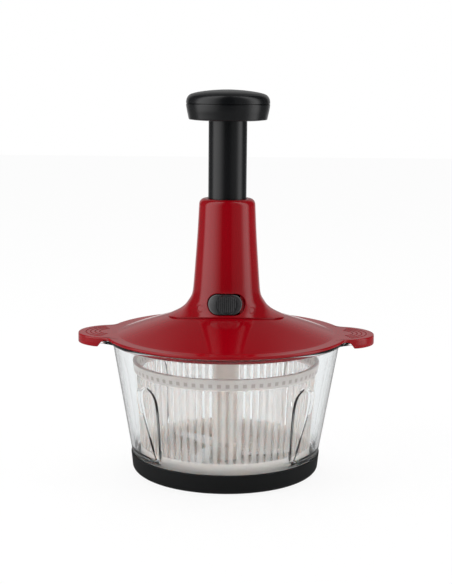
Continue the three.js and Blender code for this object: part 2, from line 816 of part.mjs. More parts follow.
// The lock's outline pushed through the front of the neck
function lockPrism(centreX, width, height) {
  const deep = prism(lockOutline(width, height), 0, neckBaseHalfX);
  return deep.rotate([90, 0, 0]).translate([centreX, 0, lockSlotZ]);
}

// Neck housing: tapered tower with a rounded lip, flared to an oval foot, with a slot and screw bosses
function makeNeck() {
  const lip = quarter(neckTopRadius - neckLipWidth, neckTopZ - neckLipHeight, neckLipWidth, neckLipHeight, 0,
    quarterTurn, lipSteps).slice(1);
  const raised = loft([footRing(), ...neckRings(0), ...lip.map(([radius, z]) => circle(radius, z))]);
  const under = [[0, flangeUnderZ], [creaseRadius, flangeUnderZ]];
  const seat = revolve([...under, ...domePath(fitGap), [0, domeTop(domeHoleRadius)]]);
  const outside = cut(raised, seat);
  const ceiling = neckTopZ - neckTopWall;
  const inside = loft([...neckRings(-neckWall), circle(neckTopRadius - neckWall, ceiling)]);
  const mouth = rod(tubeRadius + runGap, flangeTopZ, neckTopZ + overrun, mediumFacets);
  const floor = domeTop(neckScrewX) + fitGap;
  const bosses = [1, -1].map((side) => {
    const boss = rod(postRadius, floor, floor + neckScrewGrip + neckWall, tinyFacets);
    return boss.translate([side * neckScrewX, 0, 0]).intersect(outside);
  });
  const pilots = [1, -1].map((side) => {
    const pilot = rod(screwRadius + fitGap, flangeTopZ, floor + neckScrewGrip - neckWall / 2, tinyFacets);
    return pilot.translate([side * neckScrewX, 0, 0]);
  });
  const slot = lockPrism(0, lockSlotWidth, lockSlotHeight);
  return piece("neck_housing", cut(join(cut(outside, inside), ...bosses), mouth, slot, ...pilots), "red");
}

// Radius of the neck's tower at a height, along its straight taper
function neckRadius(z) {
  const path = neckPath(neckBaseHalfX);
  const above = path.findIndex(([, height]) => height >= z);
  const [[lowRadius, lowZ], [highRadius, highZ]] = [path[above - 1], path[above]];
  return lowRadius + ((highRadius - lowRadius) * (z - lowZ)) / (highZ - lowZ);
}

// Guide bush: seats in the neck's top and stops the plunger's collar
function makeGuideBush() {
  const shoulderZ = neckTopZ - neckLipHeight;
  const clear = neckWall + fitGap;
  const middle = guideZ + (shoulderZ - guideZ) / 2;
  const profile = [
    [tubeRadius + fitGap, guideZ],
    [neckRadius(guideZ) - clear, guideZ],
    [neckRadius(middle) - clear, middle],
    [neckTopRadius - clear, shoulderZ],
    [neckTopRadius - clear, guideTopZ],
    [tubeRadius + fitGap, guideTopZ],
  ];
  return piece("guide_bush", revolve(profile, mediumFacets), "white");
}

// Lock button: a pad that follows the neck's flare, with upright ribs
function makeLockButton() {
  const width = lockSlotWidth - lockTravel - 2 * lockEndGap;
  const height = lockSlotHeight - 2 * lockSideGap;
  const restX = -lockTravel / 2;
  const back = rod(collarRadius + 2 * fitGap + hookWidth, flangeTopZ, neckTopZ, mediumFacets);
  const proud = (distance) => loft(neckRings(distance)).translate([restX, 0, 0]);
  const pad = lockPrism(restX, width, height).intersect(proud(lockProud));
  const ribs = Array.from({ length: lockRibCount }, (_, i) => {
    const x = restX + lockRibPitch * (i - (lockRibCount - 1) / 2);
    const reach = neckBaseHalfY + lockProud;
    const rib = block(x, -reach / 2, lockSlotZ, lockRibWidth, reach, height - 2 * lockRibInset);
    return rib.intersect(proud(lockProud + lockRibProud));
  });
  return piece("lock_button", cut(join(pad, ...ribs), back.translate([restX, 0, 0])), "charcoal");
}

// Latch hook behind the button: it slides over the collar of the pressed plunger
function makeLatchHook() {
  const inner = collarRadius + fitGap;
  const outline = [
    ...arc(0, 0, inner + hookWidth, hookStartAngle, hookEndAngle, hookFacets),
    ...arc(0, 0, inner, hookEndAngle, hookStartAngle, hookFacets),
  ];
  const hook = prism(outline, hookZ, hookZ + hookThickness).translate([-lockTravel / 2, 0, 0]);
  return piece("latch_hook", hook, "charcoal");
}

// Mechanism cover: a shallow cup under the dome with a hub for the spindle's bush
function makeCover() {
  const rim = domeTop(coverOuterRadius) - domeWall - fitGap;
  const hubBore = journalRadius + runGap + bushWall + fitGap;
  const cup = revolve([
    [hubBore, coverHubUnderZ],
    [coverHubRadius, coverHubUnderZ],
    [coverHubRadius, coverUnderZ],
    [coverOuterRadius, coverUnderZ],
    [coverOuterRadius, rim],
    [coverOuterRadius - coverWall, rim],
    [coverOuterRadius - coverWall, coverTopZ],
    [coverHubRadius, coverTopZ],
    [coverHubRadius, coverHubTopZ],
    [hubBore, coverHubTopZ],
  ], mediumFacets);
  const holes = Array.from({ length: postCount }, (_, i) => {
    const hole = rod(screwRadius + fitGap, coverUnderZ - overrun, coverTopZ + overrun, tinyFacets);
    return spin(hole.translate([postCircle, 0, 0]), (fullTurn * (i + 1 / 2)) / postCount);
  });
  return piece("mechanism_cover", cut(cup, ...holes), "white");
}

// A pan-head screw that points up from its seat
function makeScrew(name, x, y, seatZ, grip) {
  const profile = [
    [0, seatZ - screwHeadHeight],
    [screwHeadRadius - screwRound, seatZ - screwHeadHeight],
    [screwHeadRadius, seatZ - screwHeadHeight + screwRound],
    [screwHeadRadius, seatZ],
    [screwRadius, seatZ],
    [screwRadius, seatZ + grip],
    [0, seatZ + grip],
  ];
  return piece(name, revolve(profile, screwFacets).translate([x, y, 0]), "steel");
}

function makeCoverScrews() {
  return Array.from({ length: postCount }, (_, i) => {
    const angle = (fullTurn * (i + 1 / 2)) / postCount;
    const [x, y] = [postCircle * Math.cos(angle), postCircle * Math.sin(angle)];
    return makeScrew(`cover_screw_${i + 1}`, x, y, coverUnderZ - fitGap, coverThickness + coverScrewGrip);
  });
}

function makeNeckScrews() {
  return [["left", -1], ["right", 1]].map(([name, side]) => {
    const seat = domeTop(neckScrewX + screwHeadRadius) - domeWall - fitGap;
    const length = domeWall + neckScrewGrip - neckWall / 2;
    return makeScrew(`neck_screw_${name}`, side * neckScrewX, 0, seat, length);
  });
}

function makeSpindleBush() {
  const bore = journalRadius + runGap;
  const profile = [
    [bore, coverHubUnderZ],
    [bore + bushWall, coverHubUnderZ],
    [bore + bushWall, coverHubTopZ + fitGap],
    [bushFlangeRadius, coverHubTopZ + fitGap],
    [bushFlangeRadius, bushTopZ],
    [bore, bushTopZ],
  ];
  return piece("spindle_bush", revolve(profile, smallFacets), "cream");
}

function makeThrustWasher() {
  const washer = tube(journalRadius + runGap, washerRadius, washerZ, washerZ + washerThickness);
  return piece("thrust_washer", washer, "steel");
}

// Section of the spiral bar at a height: a flat strip, wider by a margin
function stripSection(z, margin) {
  const [w, t] = [rodHalfWidth + margin, rodHalfThickness + margin];
  const corners = [[w, -t], [w, t], [0, t], [-w, t], [-w, -t], [0, -t]];
  const angle = (fullTurn * (z - spiralZ)) / rodLead;
  const [cos, sin] = [Math.cos(angle), Math.sin(angle)];
  return corners.map(([x, y]) => [x * cos - y * sin, x * sin + y * cos, z]);
}

// The strip twisted between two heights
function twistedStrip(bottom, top, margin) {
  const steps = Math.ceil(((top - bottom) / rodLead) * rodStepsPerTurn);
  const heights = Array.from({ length: steps + 1 }, (_, i) => bottom + ((top - bottom) * i) / steps);
  return loft(heights.map((z) => stripSection(z, margin)));
}

// Spiral rod: round journal below, collar on the washer, and the twisted strip that the nut turns
function makeSpiralRod() {
  const journal = rod(journalRadius, couplerUnderZ + couplerFloor + fitGap, rodCollarZ + rodCollarHeight / 2);
  const collar = rod(rodCollarRadius, rodCollarZ, spiralZ);
  const strip = twistedStrip(spiralZ - rodCollarHeight / 2, rodTopZ, 0);
  const pinHole = makeCrossPinBody(fitGap, overrun);
  return piece("spiral_rod", cut(join(journal, collar, strip), pinHole), "steel");
}

// The pin across the coupler and the journal
function makeCrossPinBody(margin, extra) {
  const half = couplerRadius - runGap + extra;
  const pin = rod(crossPinRadius + margin, -half, half, tinyFacets);
  return pin.rotate([0, 90, 0]).translate([0, 0, couplerTopZ - crossPinDrop]);
}

// Drive coupler: carries the spindle's turn to the column through a hexagon
function makeCoupler() {
  const body = rod(couplerRadius, couplerUnderZ, couplerTopZ, smallFacets);
  const bore = rod(journalRadius + fitGap, couplerUnderZ + couplerFloor, couplerTopZ + overrun);
  const hexagon = rod(hexRadius, couplerUnderZ - hexDepth, couplerUnderZ + couplerFloor / 2, hexSides);
  return piece("drive_coupler", cut(join(body, hexagon), bore, makeCrossPinBody(fitGap, overrun)), "white");
}

// Drive nut: plugs the plunger's lower end, with a slot twisted like the rod
function makeDriveNut() {
  const body = revolve([
    [0, nutZ],
    [nutFlangeRadius, nutZ],
    [nutFlangeRadius, nutZ + nutFlange],
    [tubeBore - fitGap, nutZ + nutFlange],
    [tubeBore - fitGap, nutZ + nutFlange + nutHeight],
    [0, nutZ + nutFlange + nutHeight],
  ], mediumFacets);
  const slot = twistedStrip(nutZ - overrun, nutZ + nutFlange + nutHeight + overrun, nutPlay);
  return piece("drive_nut", cut(body, slot), "white");
}

// Plunger tube: black sleeve with a stop collar at its foot and a closed top with the knob screw's hole
function makePlungerTube() {
  const top = knobUnderZ + knobSocket;
  const body = revolve([
    [tubeBore, collarZ],
    [collarRadius, collarZ],
    [collarRadius, collarTopZ],
    [tubeRadius, collarTopZ],
    [tubeRadius, top],
    [screwRadius + fitGap, top],
    [screwRadius + fitGap, top - tubeCap],
    [tubeBore, top - tubeCap],
  ], mediumFacets);
  return piece("plunger_tube", body, "black");
}

// Knob base: the lower half of the palm knob, with the socket for the tube
function makeKnobBase() {
  const socketTop = knobUnderZ + knobSocket + fitGap;
  const belly = knobBellyShares.map(([spread, rise]) => {
    return [knobFootRadius + (knobRadius - knobFootRadius) * spread, knobUnderZ + knobSeamRise * rise];
  });
  const profile = [
    [tubeRadius + fitGap, knobUnderZ],
    ...belly,
    [knobRadius - knobWall, knobSeamZ],
    [knobRadius - knobWall, knobUnderZ + knobWall + knobSeamRise / 2],
    [knobFootRadius - knobWall, knobUnderZ + knobWall],
    [tubeRadius + fitGap + knobWall, knobUnderZ + knobWall],
    [tubeRadius + fitGap + knobWall, socketTop + knobWeb],
    [screwRadius + fitGap, socketTop + knobWeb],
    [screwRadius + fitGap, socketTop],
    [tubeRadius + fitGap, socketTop],
  ];
  return piece("knob_base", revolve(profile, knobFacets), "black");
}

// Knob cap: the domed palm rest, with a ring that locates it in the base
function makeKnobCap() {
  const seam = knobSeamZ + knobSeamGap;
  const shoulderZ = knobUnderZ + knobShoulderRise;
  const bulge = knobRadius - knobShoulderRadius;
  const side = quarter(knobShoulderRadius, seam, bulge, shoulderZ - seam, 0, quarterTurn, 4);
  const crown = [0.35, 0.7, 1].map((share) => {
    const radius = knobShoulderRadius * (1 - share * (1 - knobFlatShare));
    return [radius, shoulderZ + (knobTopZ - shoulderZ) * Math.sin(quarterTurn * share)];
  });
  const locator = knobRadius - knobWall - fitGap;
  const profile = [
    [knobRadius, seam],
    ...side.slice(1),
    ...crown,
    [0, knobTopZ],
    [0, knobTopZ - knobWall],
    [knobShoulderRadius * knobFlatShare, knobTopZ - knobWall],
    [locator - knobWall, shoulderZ - knobWall / 2],
    [locator - knobWall, seam - knobLocator],
    [locator, seam - knobLocator],
    [locator, seam],
  ];
  return piece("knob_cap", revolve(profile, knobFacets), "black");
}

function makeKnobScrew() {
  const seat = knobUnderZ + knobSocket + 2 * fitGap + knobWeb;
  const screw = makeScrew("knob_screw", 0, 0, -seat, knobWeb + tubeCap);
  screw.rotation.x = Math.PI;
  return screw;
}

// Return spring round the rod: one unbroken helix of wire
function makeSpring() {
  const low = coverTopZ + fitGap + wireRadius;
  const high = nutZ - fitGap - wireRadius;
  const rise = high - low;
  const steps = springTurns * springStepsPerTurn;
  const centres = [];
  const rings = Array.from({ length: steps + 1 }, (_, i) => {
    const angle = (fullTurn * i) / springStepsPerTurn;
    const z = low + (rise * i) / steps;
    centres.push(new THREE.Vector3(springRadius * Math.cos(angle), springRadius * Math.sin(angle), z));
    return arc(springRadius, z, wireRadius, 0, fullTurn, springSides).slice(1).map(([radius, height]) => {
      return [radius * Math.cos(angle), radius * Math.sin(angle), height];
    });
  });
  const gaps = centres.flatMap((point, i) => {
    return centres.slice(i + springStepsPerTurn / 2).map((other) => point.distanceTo(other) - 2 * wireRadius);
  });
  console.log("least gap between the spring's turns, mm:", Math.min(...gaps).toFixed(2));
  return piece("return_spring", loft(rings), "steel");
}

// The assembly
const base = group(makeBaseRing());
const bowlGroup = group(makeBowl(), makePivotPin());
const rotor = group(makeBladeColumn(), makeColumnCore());
rotor.add(makeBlade("blade_lower", 0), makeBlade("blade_middle", 1), makeBlade("blade_upper", 2));
const lid = group(makeLid(), makeLidSeal(), makeNeck(), makeGuideBush(), makeCover());
lid.add(...makeCoverScrews(), ...makeNeckScrews(), makeSpindleBush(), makeThrustWasher());
const lock = group(makeLockButton(), makeLatchHook());
const spindle = group(makeSpiralRod(), makeCoupler(), piece("coupler_pin", makeCrossPinBody(0, 0), "steel"));
const plunger = group(makePlungerTube(), makeDriveNut(), makeKnobBase(), makeKnobCap(), makeKnobScrew());
plunger.add(makeSpring());

const chopper = group(base, bowlGroup, group(makeBasket()), rotor, lid, lock, spindle, plunger);

export default chopper;
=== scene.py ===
# %% [markdown]
# # A push-down food chopper
# The real object is a kitchen tool. A clear bowl stands in a black base ring, a slotted basket hangs
# inside it, and a red lid carries a plunger that spins three blades. This lesson dresses the engineering
# model of the tool with smooth surfaces and real finishes. Lengths are written in millimetres, and each
# mesh is turned into metres as it is made.

# %% Load the engineering model
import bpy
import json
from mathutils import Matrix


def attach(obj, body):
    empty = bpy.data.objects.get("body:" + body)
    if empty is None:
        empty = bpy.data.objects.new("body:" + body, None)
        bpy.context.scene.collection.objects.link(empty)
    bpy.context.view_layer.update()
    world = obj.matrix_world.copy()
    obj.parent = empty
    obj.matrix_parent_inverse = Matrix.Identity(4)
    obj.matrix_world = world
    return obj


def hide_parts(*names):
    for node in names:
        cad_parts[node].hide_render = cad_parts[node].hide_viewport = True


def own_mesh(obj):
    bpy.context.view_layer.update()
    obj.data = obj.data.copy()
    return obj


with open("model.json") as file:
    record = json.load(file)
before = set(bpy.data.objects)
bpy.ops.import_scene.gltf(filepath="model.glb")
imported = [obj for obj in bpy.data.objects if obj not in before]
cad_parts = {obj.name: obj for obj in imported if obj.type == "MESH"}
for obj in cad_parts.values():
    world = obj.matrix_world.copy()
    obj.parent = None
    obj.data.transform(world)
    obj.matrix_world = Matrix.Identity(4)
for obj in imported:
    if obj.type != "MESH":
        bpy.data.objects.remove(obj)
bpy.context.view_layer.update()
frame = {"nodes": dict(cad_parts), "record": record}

# %% Modules and the unit
import json
from math import acos, atan2, cos, hypot, pi, radians, sin, sqrt, tan, tau

import bmesh
import bpy
from mathutils import Matrix, Vector

mm = 0.001

# %% [markdown]
# ## Helpers for surfaces
# Most pieces of a moulded tool are turned or lofted. One could model them by hand or with modifiers, but
# a skin over rings of points gives full control over every radius. The helpers below make a mesh from
# points, skin a row of rings, and turn a profile round the Z axis.

# %% A mesh from points and faces
merge_distance = 0.002


def build(name, points, faces):
    mesh = bpy.data.meshes.new(name)
    mesh.from_pydata([tuple(value * mm for value in point) for point in points], [], faces)
    work = bmesh.new()
    work.from_mesh(mesh)
    bmesh.ops.remove_doubles(work, verts=work.verts, dist=merge_distance * mm)
    bmesh.ops.recalc_face_normals(work, faces=work.faces)
    work.to_mesh(mesh)
    work.free()
    mesh.shade_smooth()
    piece = bpy.data.objects.new(name, mesh)
    bpy.context.scene.collection.objects.link(piece)
    return piece


# %% A skin over rings, and a turned profile
turn_steps = 160


def skin_faces(ring_count, count, wrap=False, start=0):
    faces = []
    for level in range(ring_count if wrap else ring_count - 1):
        low = start + level * count
        high = start + (level + 1) % ring_count * count
        for i in range(count):
            j = (i + 1) % count
            faces.append((low + i, low + j, high + j, high + i))
    return faces


def skin(name, rings, wrap=False):
    points = [point for ring in rings for point in ring]
    return build(name, points, skin_faces(len(rings), len(rings[0]), wrap))


def circle(radius, z, steps=turn_steps):
    return [(radius * cos(tau * i / steps), radius * sin(tau * i / steps), z) for i in range(steps)]


def turned(name, profile, steps=turn_steps):
    rings = [circle(radius, z, steps) for radius, z in profile]
    return skin(name, rings, wrap=profile[0][0] > 0)


# Both ends are closed by a fan round the middle of their ring
def capped(name, rings):
    ends = [[tuple(sum(point[axis] for point in ring) / len(ring) for axis in range(3))] * len(ring)
            for ring in (rings[0], rings[-1])]
    return skin(name, [ends[0], *rings, ends[1]])


def tell(*pieces):
    print(*(f"{piece.name}: {len(piece.data.polygons)} faces" for piece in pieces), sep="\n")


# %% Shares, even steps and turned points
def clamp(share):
    return min(max(share, 0.0), 1.0)


def eased(share):
    return share**2 * (3 - 2 * share)


def evenly(start, stop, steps):
    return [start + (stop - start) * i / steps for i in range(steps + 1)]


def quarter(steps):
    return evenly(0.0, pi / 2, steps)


def turned_by(x, y, angle):
    return (x * cos(angle) - y * sin(angle), x * sin(angle) + y * cos(angle))


# %% Rounded corners and smooth curves for profiles
fillet_steps = 5
most_of_side = 0.42
guard_share = 0.35


# Each corner is a radius, a height and maybe a fillet. A guard point on either side of a fillet
# keeps the shading of the flat faces next to it clean.
def rounded(corners):
    points = []
    for i, corner in enumerate(corners):
        here = Vector(corner[:2])
        if len(corner) < 3:
            points.append(tuple(here))
            continue
        before = Vector(corners[i - 1][:2]) - here
        after = Vector(corners[(i + 1) % len(corners)][:2]) - here
        half = before.angle(after) / 2
        side = min(before.length, after.length)
        reach = min(corner[2] / tan(half), most_of_side * side)
        guard = reach * (1 + guard_share) if reach < guard_share * side else reach
        before.normalize()
        after.normalize()
        radius = reach * tan(half)
        centre = here + (before + after).normalized() * radius / sin(half)
        start = here + before * reach - centre
        sense = 1 if start.x * (after.y - before.y) - start.y * (after.x - before.x) > 0 else -1
        points.append(tuple(here + before * guard))
        for angle in evenly(0.0, sense * (pi - 2 * half), fillet_steps):
            points.append(tuple(centre + Vector(turned_by(start.x, start.y, angle))))
        points.append(tuple(here + after * guard))
    return points


def smooth_through(knots, steps=6):
    points = []
    for i in range(len(knots) - 1):
        ends = [knots[max(i - 1, 0)], knots[i], knots[i + 1], knots[min(i + 2, len(knots) - 1)]]
        for step in range(steps):
            points.append(tuple(spline(ends, step / steps)))
    return points + [tuple(knots[-1])]


# One span of a curve through its two middle knots
def spline(ends, t):
    a, b, c, d = [Vector(end) for end in ends]
    return (b * 2 + (c - a) * t + (a * 2 - b * 5 + c * 4 - d) * t**2 + (b * 3 - a - c * 3 + d) * t**3) / 2


# %% [markdown]
# ## Helpers for nodes
# Materials and Geometry Nodes are both trees of nodes. One small class wraps a socket, so that their
# maths reads as plain Python, and one method adds any other node.

# %% Sockets with Python's arithmetic
class Wire:
    def __init__(self, graph, socket):
        self.graph = graph
        self.socket = socket

    def __add__(self, other):
        return self.graph.maths("ADD", self, other)

    def __sub__(self, other):
        return self.graph.maths("SUBTRACT", self, other)

    def __rsub__(self, other):
        return self.graph.maths("SUBTRACT", other, self)

    def __mul__(self, other):
        return self.graph.maths("MULTIPLY", self, other)

    def __truediv__(self, other):
        return self.graph.maths("DIVIDE", self, other)

    def __rtruediv__(self, other):
        return self.graph.maths("DIVIDE", other, self)

    def __pow__(self, other):
        return self.graph.maths("POWER", self, other)

    __radd__ = __add__
    __rmul__ = __mul__


# %% Nodes of a tree
class Graph:
    def __init__(self, tree):
        self.tree = tree

    def node(self, kind, settings=None, values=None, out=0):
        made = self.tree.nodes.new(kind)
        for key, value in (settings or {}).items():
            if key == "stops":
                fill_ramp(made.color_ramp, value)
            else:
                setattr(made, key, value)
        for key, value in (values or {}).items():
            if isinstance(value, Wire):
                self.tree.links.new(value.socket, made.inputs[key])
            else:
                made.inputs[key].default_value = value
        return Wire(self, made.outputs[out]) if made.outputs else None

    def maths(self, operation, first, second):
        return self.node("ShaderNodeMath", {"operation": operation}, {0: first, 1: second})

    # From start to end while the value climbs from low to high
    def climb(self, value, low, high, start=0.0, end=1.0, kind="LINEAR"):
        return self.node("ShaderNodeMapRange", {"interpolation_type": kind}, {
            0: value, 1: low, 2: high, 3: start, 4: end})

    def smooth_climb(self, value, low, high, end=1.0):
        return self.climb(value, low, high, 0.0, end, "SMOOTHSTEP")

    def mix(self, factor, first, second, blend="MIX"):
        return self.node("ShaderNodeMix", {"data_type": "RGBA", "blend_type": blend}, {
            0: factor, 6: first, 7: second}, out=2)

    def axes(self, vector):
        parts = self.node("ShaderNodeSeparateXYZ", None, {0: vector}).socket.node
        return [Wire(self, socket) for socket in parts.outputs]


def fill_ramp(ramp, stops):
    while len(ramp.elements) < len(stops):
        ramp.elements.new(1.0)
    for element, (place, level) in zip(ramp.elements, stops):
        element.position = place
        element.color = (level, level, level, 1.0)


# The empty tree of a material or a world
def blank_graph(owner):
    owner.use_nodes = True
    owner.node_tree.nodes.clear()
    return Graph(owner.node_tree)


# %% [markdown]
# ## Sizes that the pieces share
# The engineering model fixes where everything is. These are its main radii and heights, so that each
# smooth piece fits where its plain solid was.

# %% Shared sizes, in millimetres
ring_height = 16.6
bowl_bottom_z = 3.3
bowl_floor_z = 6.1
bowl_step_radius = 75.3
bowl_mouth_radius = 90.9
bowl_height = 110.5
bowl_wall = 2.4
rim_thickness = 3.0
ear_centre = 90.5
flange_under_z = 110.8
flange_top_z = 113.0
crease_radius = 85.75
skirt_radius = 87.0
neck_top_z = 220.6
knob_under_z = 281.6


def bowl_outer(z):
    climb = (z - ring_height) / (bowl_height - rim_thickness - ring_height)
    return bowl_step_radius + (bowl_mouth_radius - bowl_step_radius) * climb


# %% [markdown]
# ## Base ring
# A soft black shoe that the bowl stands in. Its outside rolls under at the foot and ends in a small lip
# at the top. It is a plain turned piece, so a closed profile round the Z axis is the natural way.

# %% Turn the base ring
sole_radius = 66.1
roll_width, roll_height = 9.0, 6.0
roll = [(sole_radius + roll_width * sin(a), roll_height * (1 - cos(a))) for a in quarter(8)[1:-1]]
base_ring = turned("base_ring_rubber", rounded([
    (52.1, 0.0, 0.5), (sole_radius, 0.0), *roll, (75.1, 6.0), (75.55, 10.5), (75.95, 14.4),
    (76.2, ring_height, 0.6), (73.5, ring_height, 0.5), (71.3, 8.4), (70.1, 5.4), (68.4, 3.7), (66.3, 3.0),
    (52.1, 3.0, 0.5)]))
tell(base_ring)

# %% [markdown]
# ## Bowl
# The bowl is clear plastic: a tapered wall of even thickness on a stepped foot, a flat rim with two
# lugs, and four finger grips pressed inwards. A boolean would leave ragged edges that a clear wall shows
# at once. So the wall's columns are bent round each grip, and the grip's edge falls on a column.

# %% Sizes of the grips
columns = 240
quarter_columns = columns // 4
grip_columns, grip_reach = 7, 12
grip_bottom_z, grip_top_z = 20.0, 81.0
grip_soft_from_z, grip_soft_until_z = 38.0, 60.0
grip_half_width, grip_depth = 8.8, 3.6
grip_least_half, grip_least_edge = 1.5, 0.3
grip_widening, grip_inner_widening = 1.2, 1.4
grip_lean, grip_lean_power = 2.6, 1.2
grip_ease_height = 12.0
grip_shape = smooth_through([
    (0.0, 0.0), (0.05, 0.16), (0.16, 0.37), (0.3, 0.54), (0.5, 0.72), (0.68, 0.86), (0.8, 0.9), (0.88, 0.83),
    (0.95, 0.58), (1.0, 0.0)], 8)
print("grips:", grip_bottom_z, "to", grip_top_z, "mm above the foot")


# %% Shape of a grip at a height
def grip_share(z):
    return (z - grip_bottom_z) / (grip_top_z - grip_bottom_z)


# How wide and deep a grip is, from 0 to 1
def grip_size(z):
    share = grip_share(z)
    for (low, small), (high, large) in zip(grip_shape, grip_shape[1:]):
        if low <= share <= high:
            return max(small + (large - small) * (share - low) / (high - low), 0.0)
    return 0.0


# The foot of a grip leans towards the middle of the bowl's front or back
def grip_shift(z):
    return grip_lean * (1 - clamp(grip_share(z))) ** grip_lean_power


# The outer side of a front grip turns soft towards its top
def grip_softness(z):
    return clamp((z - grip_soft_from_z) / (grip_soft_until_z - grip_soft_from_z))


# Half the width of a grip on its steep side and on its soft side
def grip_halves(size, inset=0.0, edge=pi / 2):
    narrow = (grip_half_width * size + inset) * sin(edge) if size else 0.0
    wide = grip_half_width * size * grip_widening + inset * grip_inner_widening
    return max(narrow, grip_least_half), max(wide, grip_least_half)


# %% One ring of the wall
# Inset is nothing outside and the wall's thickness inside. The grips at the back are soft all round.
def wall_ring(z, radius, inset):
    size = grip_size(z)
    depth = grip_depth * size + inset
    edge = max(acos(inset / depth), grip_least_edge) if depth > 0 else pi / 2
    narrow, wide = grip_halves(size, inset, edge)
    ease = eased(clamp((z - grip_top_z) / grip_ease_height))
    step = tau / columns
    points = []
    for i in range(columns):
        local = i % quarter_columns - quarter_columns // 2
        side = 1 if local > 0 else -1
        lean = 1 if i // quarter_columns % 2 == 0 else -1
        share = min(abs(local) / grip_columns, 1.0)
        beyond = max((abs(local) - grip_columns) / (grip_reach - grip_columns), 0.0)
        gentle = 1.0 if i < columns // 2 else grip_softness(z) * (side * lean < 0)
        bent = (narrow + (wide - narrow) * gentle) / radius * sin(share * edge) / sin(edge)
        bent = bent + (grip_reach * step - bent) * beyond if beyond < 1 else abs(local) * step
        turn = (i - local) * step + side * (bent * (1 - ease) + abs(local) * step * ease)
        turn += lean * grip_shift(z) / radius * max(1 - beyond, 0.0) * (1 - ease)
        steep = depth * cos(share * edge)
        soft = inset + (depth - inset) * cos(share * pi / 2) ** 2
        sunk = max(steep + (soft - steep) * gentle, inset) if size and beyond == 0 else inset
        points.append(((radius - sunk) * cos(turn), (radius - sunk) * sin(turn), z))
    return points


# %% Outlines with two round ears
# Evenly spaced points of a disc with two ears on the X axis, each with the direction that faces outwards
def eared(disc, ear, fillet, count=columns, centre=ear_centre):
    reach, near = disc + fillet, ear + fillet
    lean = acos((reach**2 + centre**2 - near**2) / (2 * reach * centre))
    corner = (reach * cos(lean), reach * sin(lean))
    opening = atan2(corner[1], corner[0] - centre)
    arcs = [(centre, 0.0, ear, 0.0, opening, 1), (*corner, fillet, opening + pi, lean + pi, -1),
            (0.0, 0.0, disc, lean, pi / 2, 1)]
    lengths = [radius * abs(stop - start) for _, _, radius, start, stop, _ in arcs]
    points = []
    for i in range(count // 4 + 1):
        place = sum(lengths) * i / (count // 4)
        for (x, y, radius, start, stop, face), length in zip(arcs, lengths):
            if place <= length + 1e-9:
                angle = start + (stop - start) * place / length
                u, v = cos(angle), sin(angle)
                points.append((x + radius * u, y + radius * v, face * u, face * v))
                break
            place -= length
    half = points + [(-x, y, -u, v) for x, y, u, v in points[-2::-1]]
    return half + [(x, -y, u, -v) for x, y, u, v in half[-2:0:-1]]


def outline_ring(outline, inset, z):
    return [(x - u * inset, y - v * inset, z) for x, y, u, v in outline]


# %% Heights and profiles of the bowl
lug_outline = eared(94.0, 25.3, 9.0)
step_z = ring_height + 0.3
rim_under_z = bowl_height - rim_thickness
wall_levels = [
    step_z + 0.6, step_z + 0.75, *evenly(step_z + 0.9, grip_bottom_z, 4)[:-1],
    *evenly(grip_bottom_z, grip_top_z, 56), *evenly(grip_top_z, rim_under_z - 1.2, 9)[1:], rim_under_z - 1.0]
foot_round, inner_foot_round = 5.0, 2.5
foot_centre = bowl_outer(bowl_bottom_z) - 2.1 - foot_round
step_radius = bowl_outer(step_z)
outer_foot = [
    (0.0, bowl_bottom_z), (20.0, bowl_bottom_z), (foot_centre - 2, bowl_bottom_z),
    *[(foot_centre + foot_round * sin(a), bowl_bottom_z + foot_round * (1 - cos(a))) for a in quarter(8)],
    (step_radius - 2.35, step_z - 2), (step_radius - 2.1, step_z - 0.3), (step_radius - 1.8, step_z),
    (step_radius - 0.4, step_z)]
inner_centre = foot_centre + foot_round - bowl_wall - inner_foot_round
inner_arc = [(inner_centre + inner_foot_round * sin(a), bowl_floor_z + inner_foot_round * (1 - cos(a)))
             for a in quarter(6)]
boss = rounded([
    (12.0, bowl_floor_z), (6.5, bowl_floor_z, 1.2), (6.5, 10.3, 0.5), (3.8, 10.3, 0.3), (3.8, 4.7)])
shoulder_z = step_z + 5.4
inner_foot = [
    (bowl_outer(shoulder_z) - bowl_wall, shoulder_z), (step_radius - 4.5, step_z + 0.2),
    (step_radius - 4.75, step_z - 1.2), *inner_arc[::-1], (inner_centre - 3, bowl_floor_z),
    (20.0, bowl_floor_z), *boss, (0.0, 4.7)]
inner_levels = [z for z in wall_levels if z > shoulder_z + 0.3]

# %% Skin the bowl
foot_turns = [atan2(y, x) for x, y, _ in wall_ring(step_z + 0.6, step_radius, 0.0)]
rim_round, rim_turns = 0.7, (0, 0.5, 1.05, 1.57)
mouth_inner = bowl_outer(bowl_height) - bowl_wall


def foot_ring_of(radius, z):
    return [(radius * cos(turn), radius * sin(turn), z) for turn in foot_turns]


def rim_ring(inset, z):
    return outline_ring(lug_outline, inset, z)


bowl = skin("bowl_clear", [
    *[foot_ring_of(radius, z) for radius, z in outer_foot],
    *[wall_ring(z, bowl_outer(z), 0.0) for z in wall_levels],
    circle(bowl_mouth_radius + 0.15, rim_under_z - 0.4, columns),
    circle(bowl_mouth_radius + 0.8, rim_under_z, columns),
    rim_ring(1.2, rim_under_z),
    *[rim_ring(rim_round * (1 - sin(a)), rim_under_z + rim_round * (1 - cos(a))) for a in rim_turns],
    *[rim_ring(rim_round * (1 - cos(a)), bowl_height - rim_round * (1 - sin(a))) for a in rim_turns],
    rim_ring(1.2, bowl_height),
    circle(mouth_inner + 0.9, bowl_height, columns),
    circle(mouth_inner + 0.2, bowl_height - 0.2, columns),
    circle(mouth_inner, bowl_height - 0.8, columns),
    circle(bowl_outer(bowl_height - 1) - bowl_wall, bowl_height - 1.0, columns),
    *[wall_ring(z, bowl_outer(z), bowl_wall) for z in inner_levels[::-1]],
    *[foot_ring_of(radius, z) for radius, z in inner_foot],
])

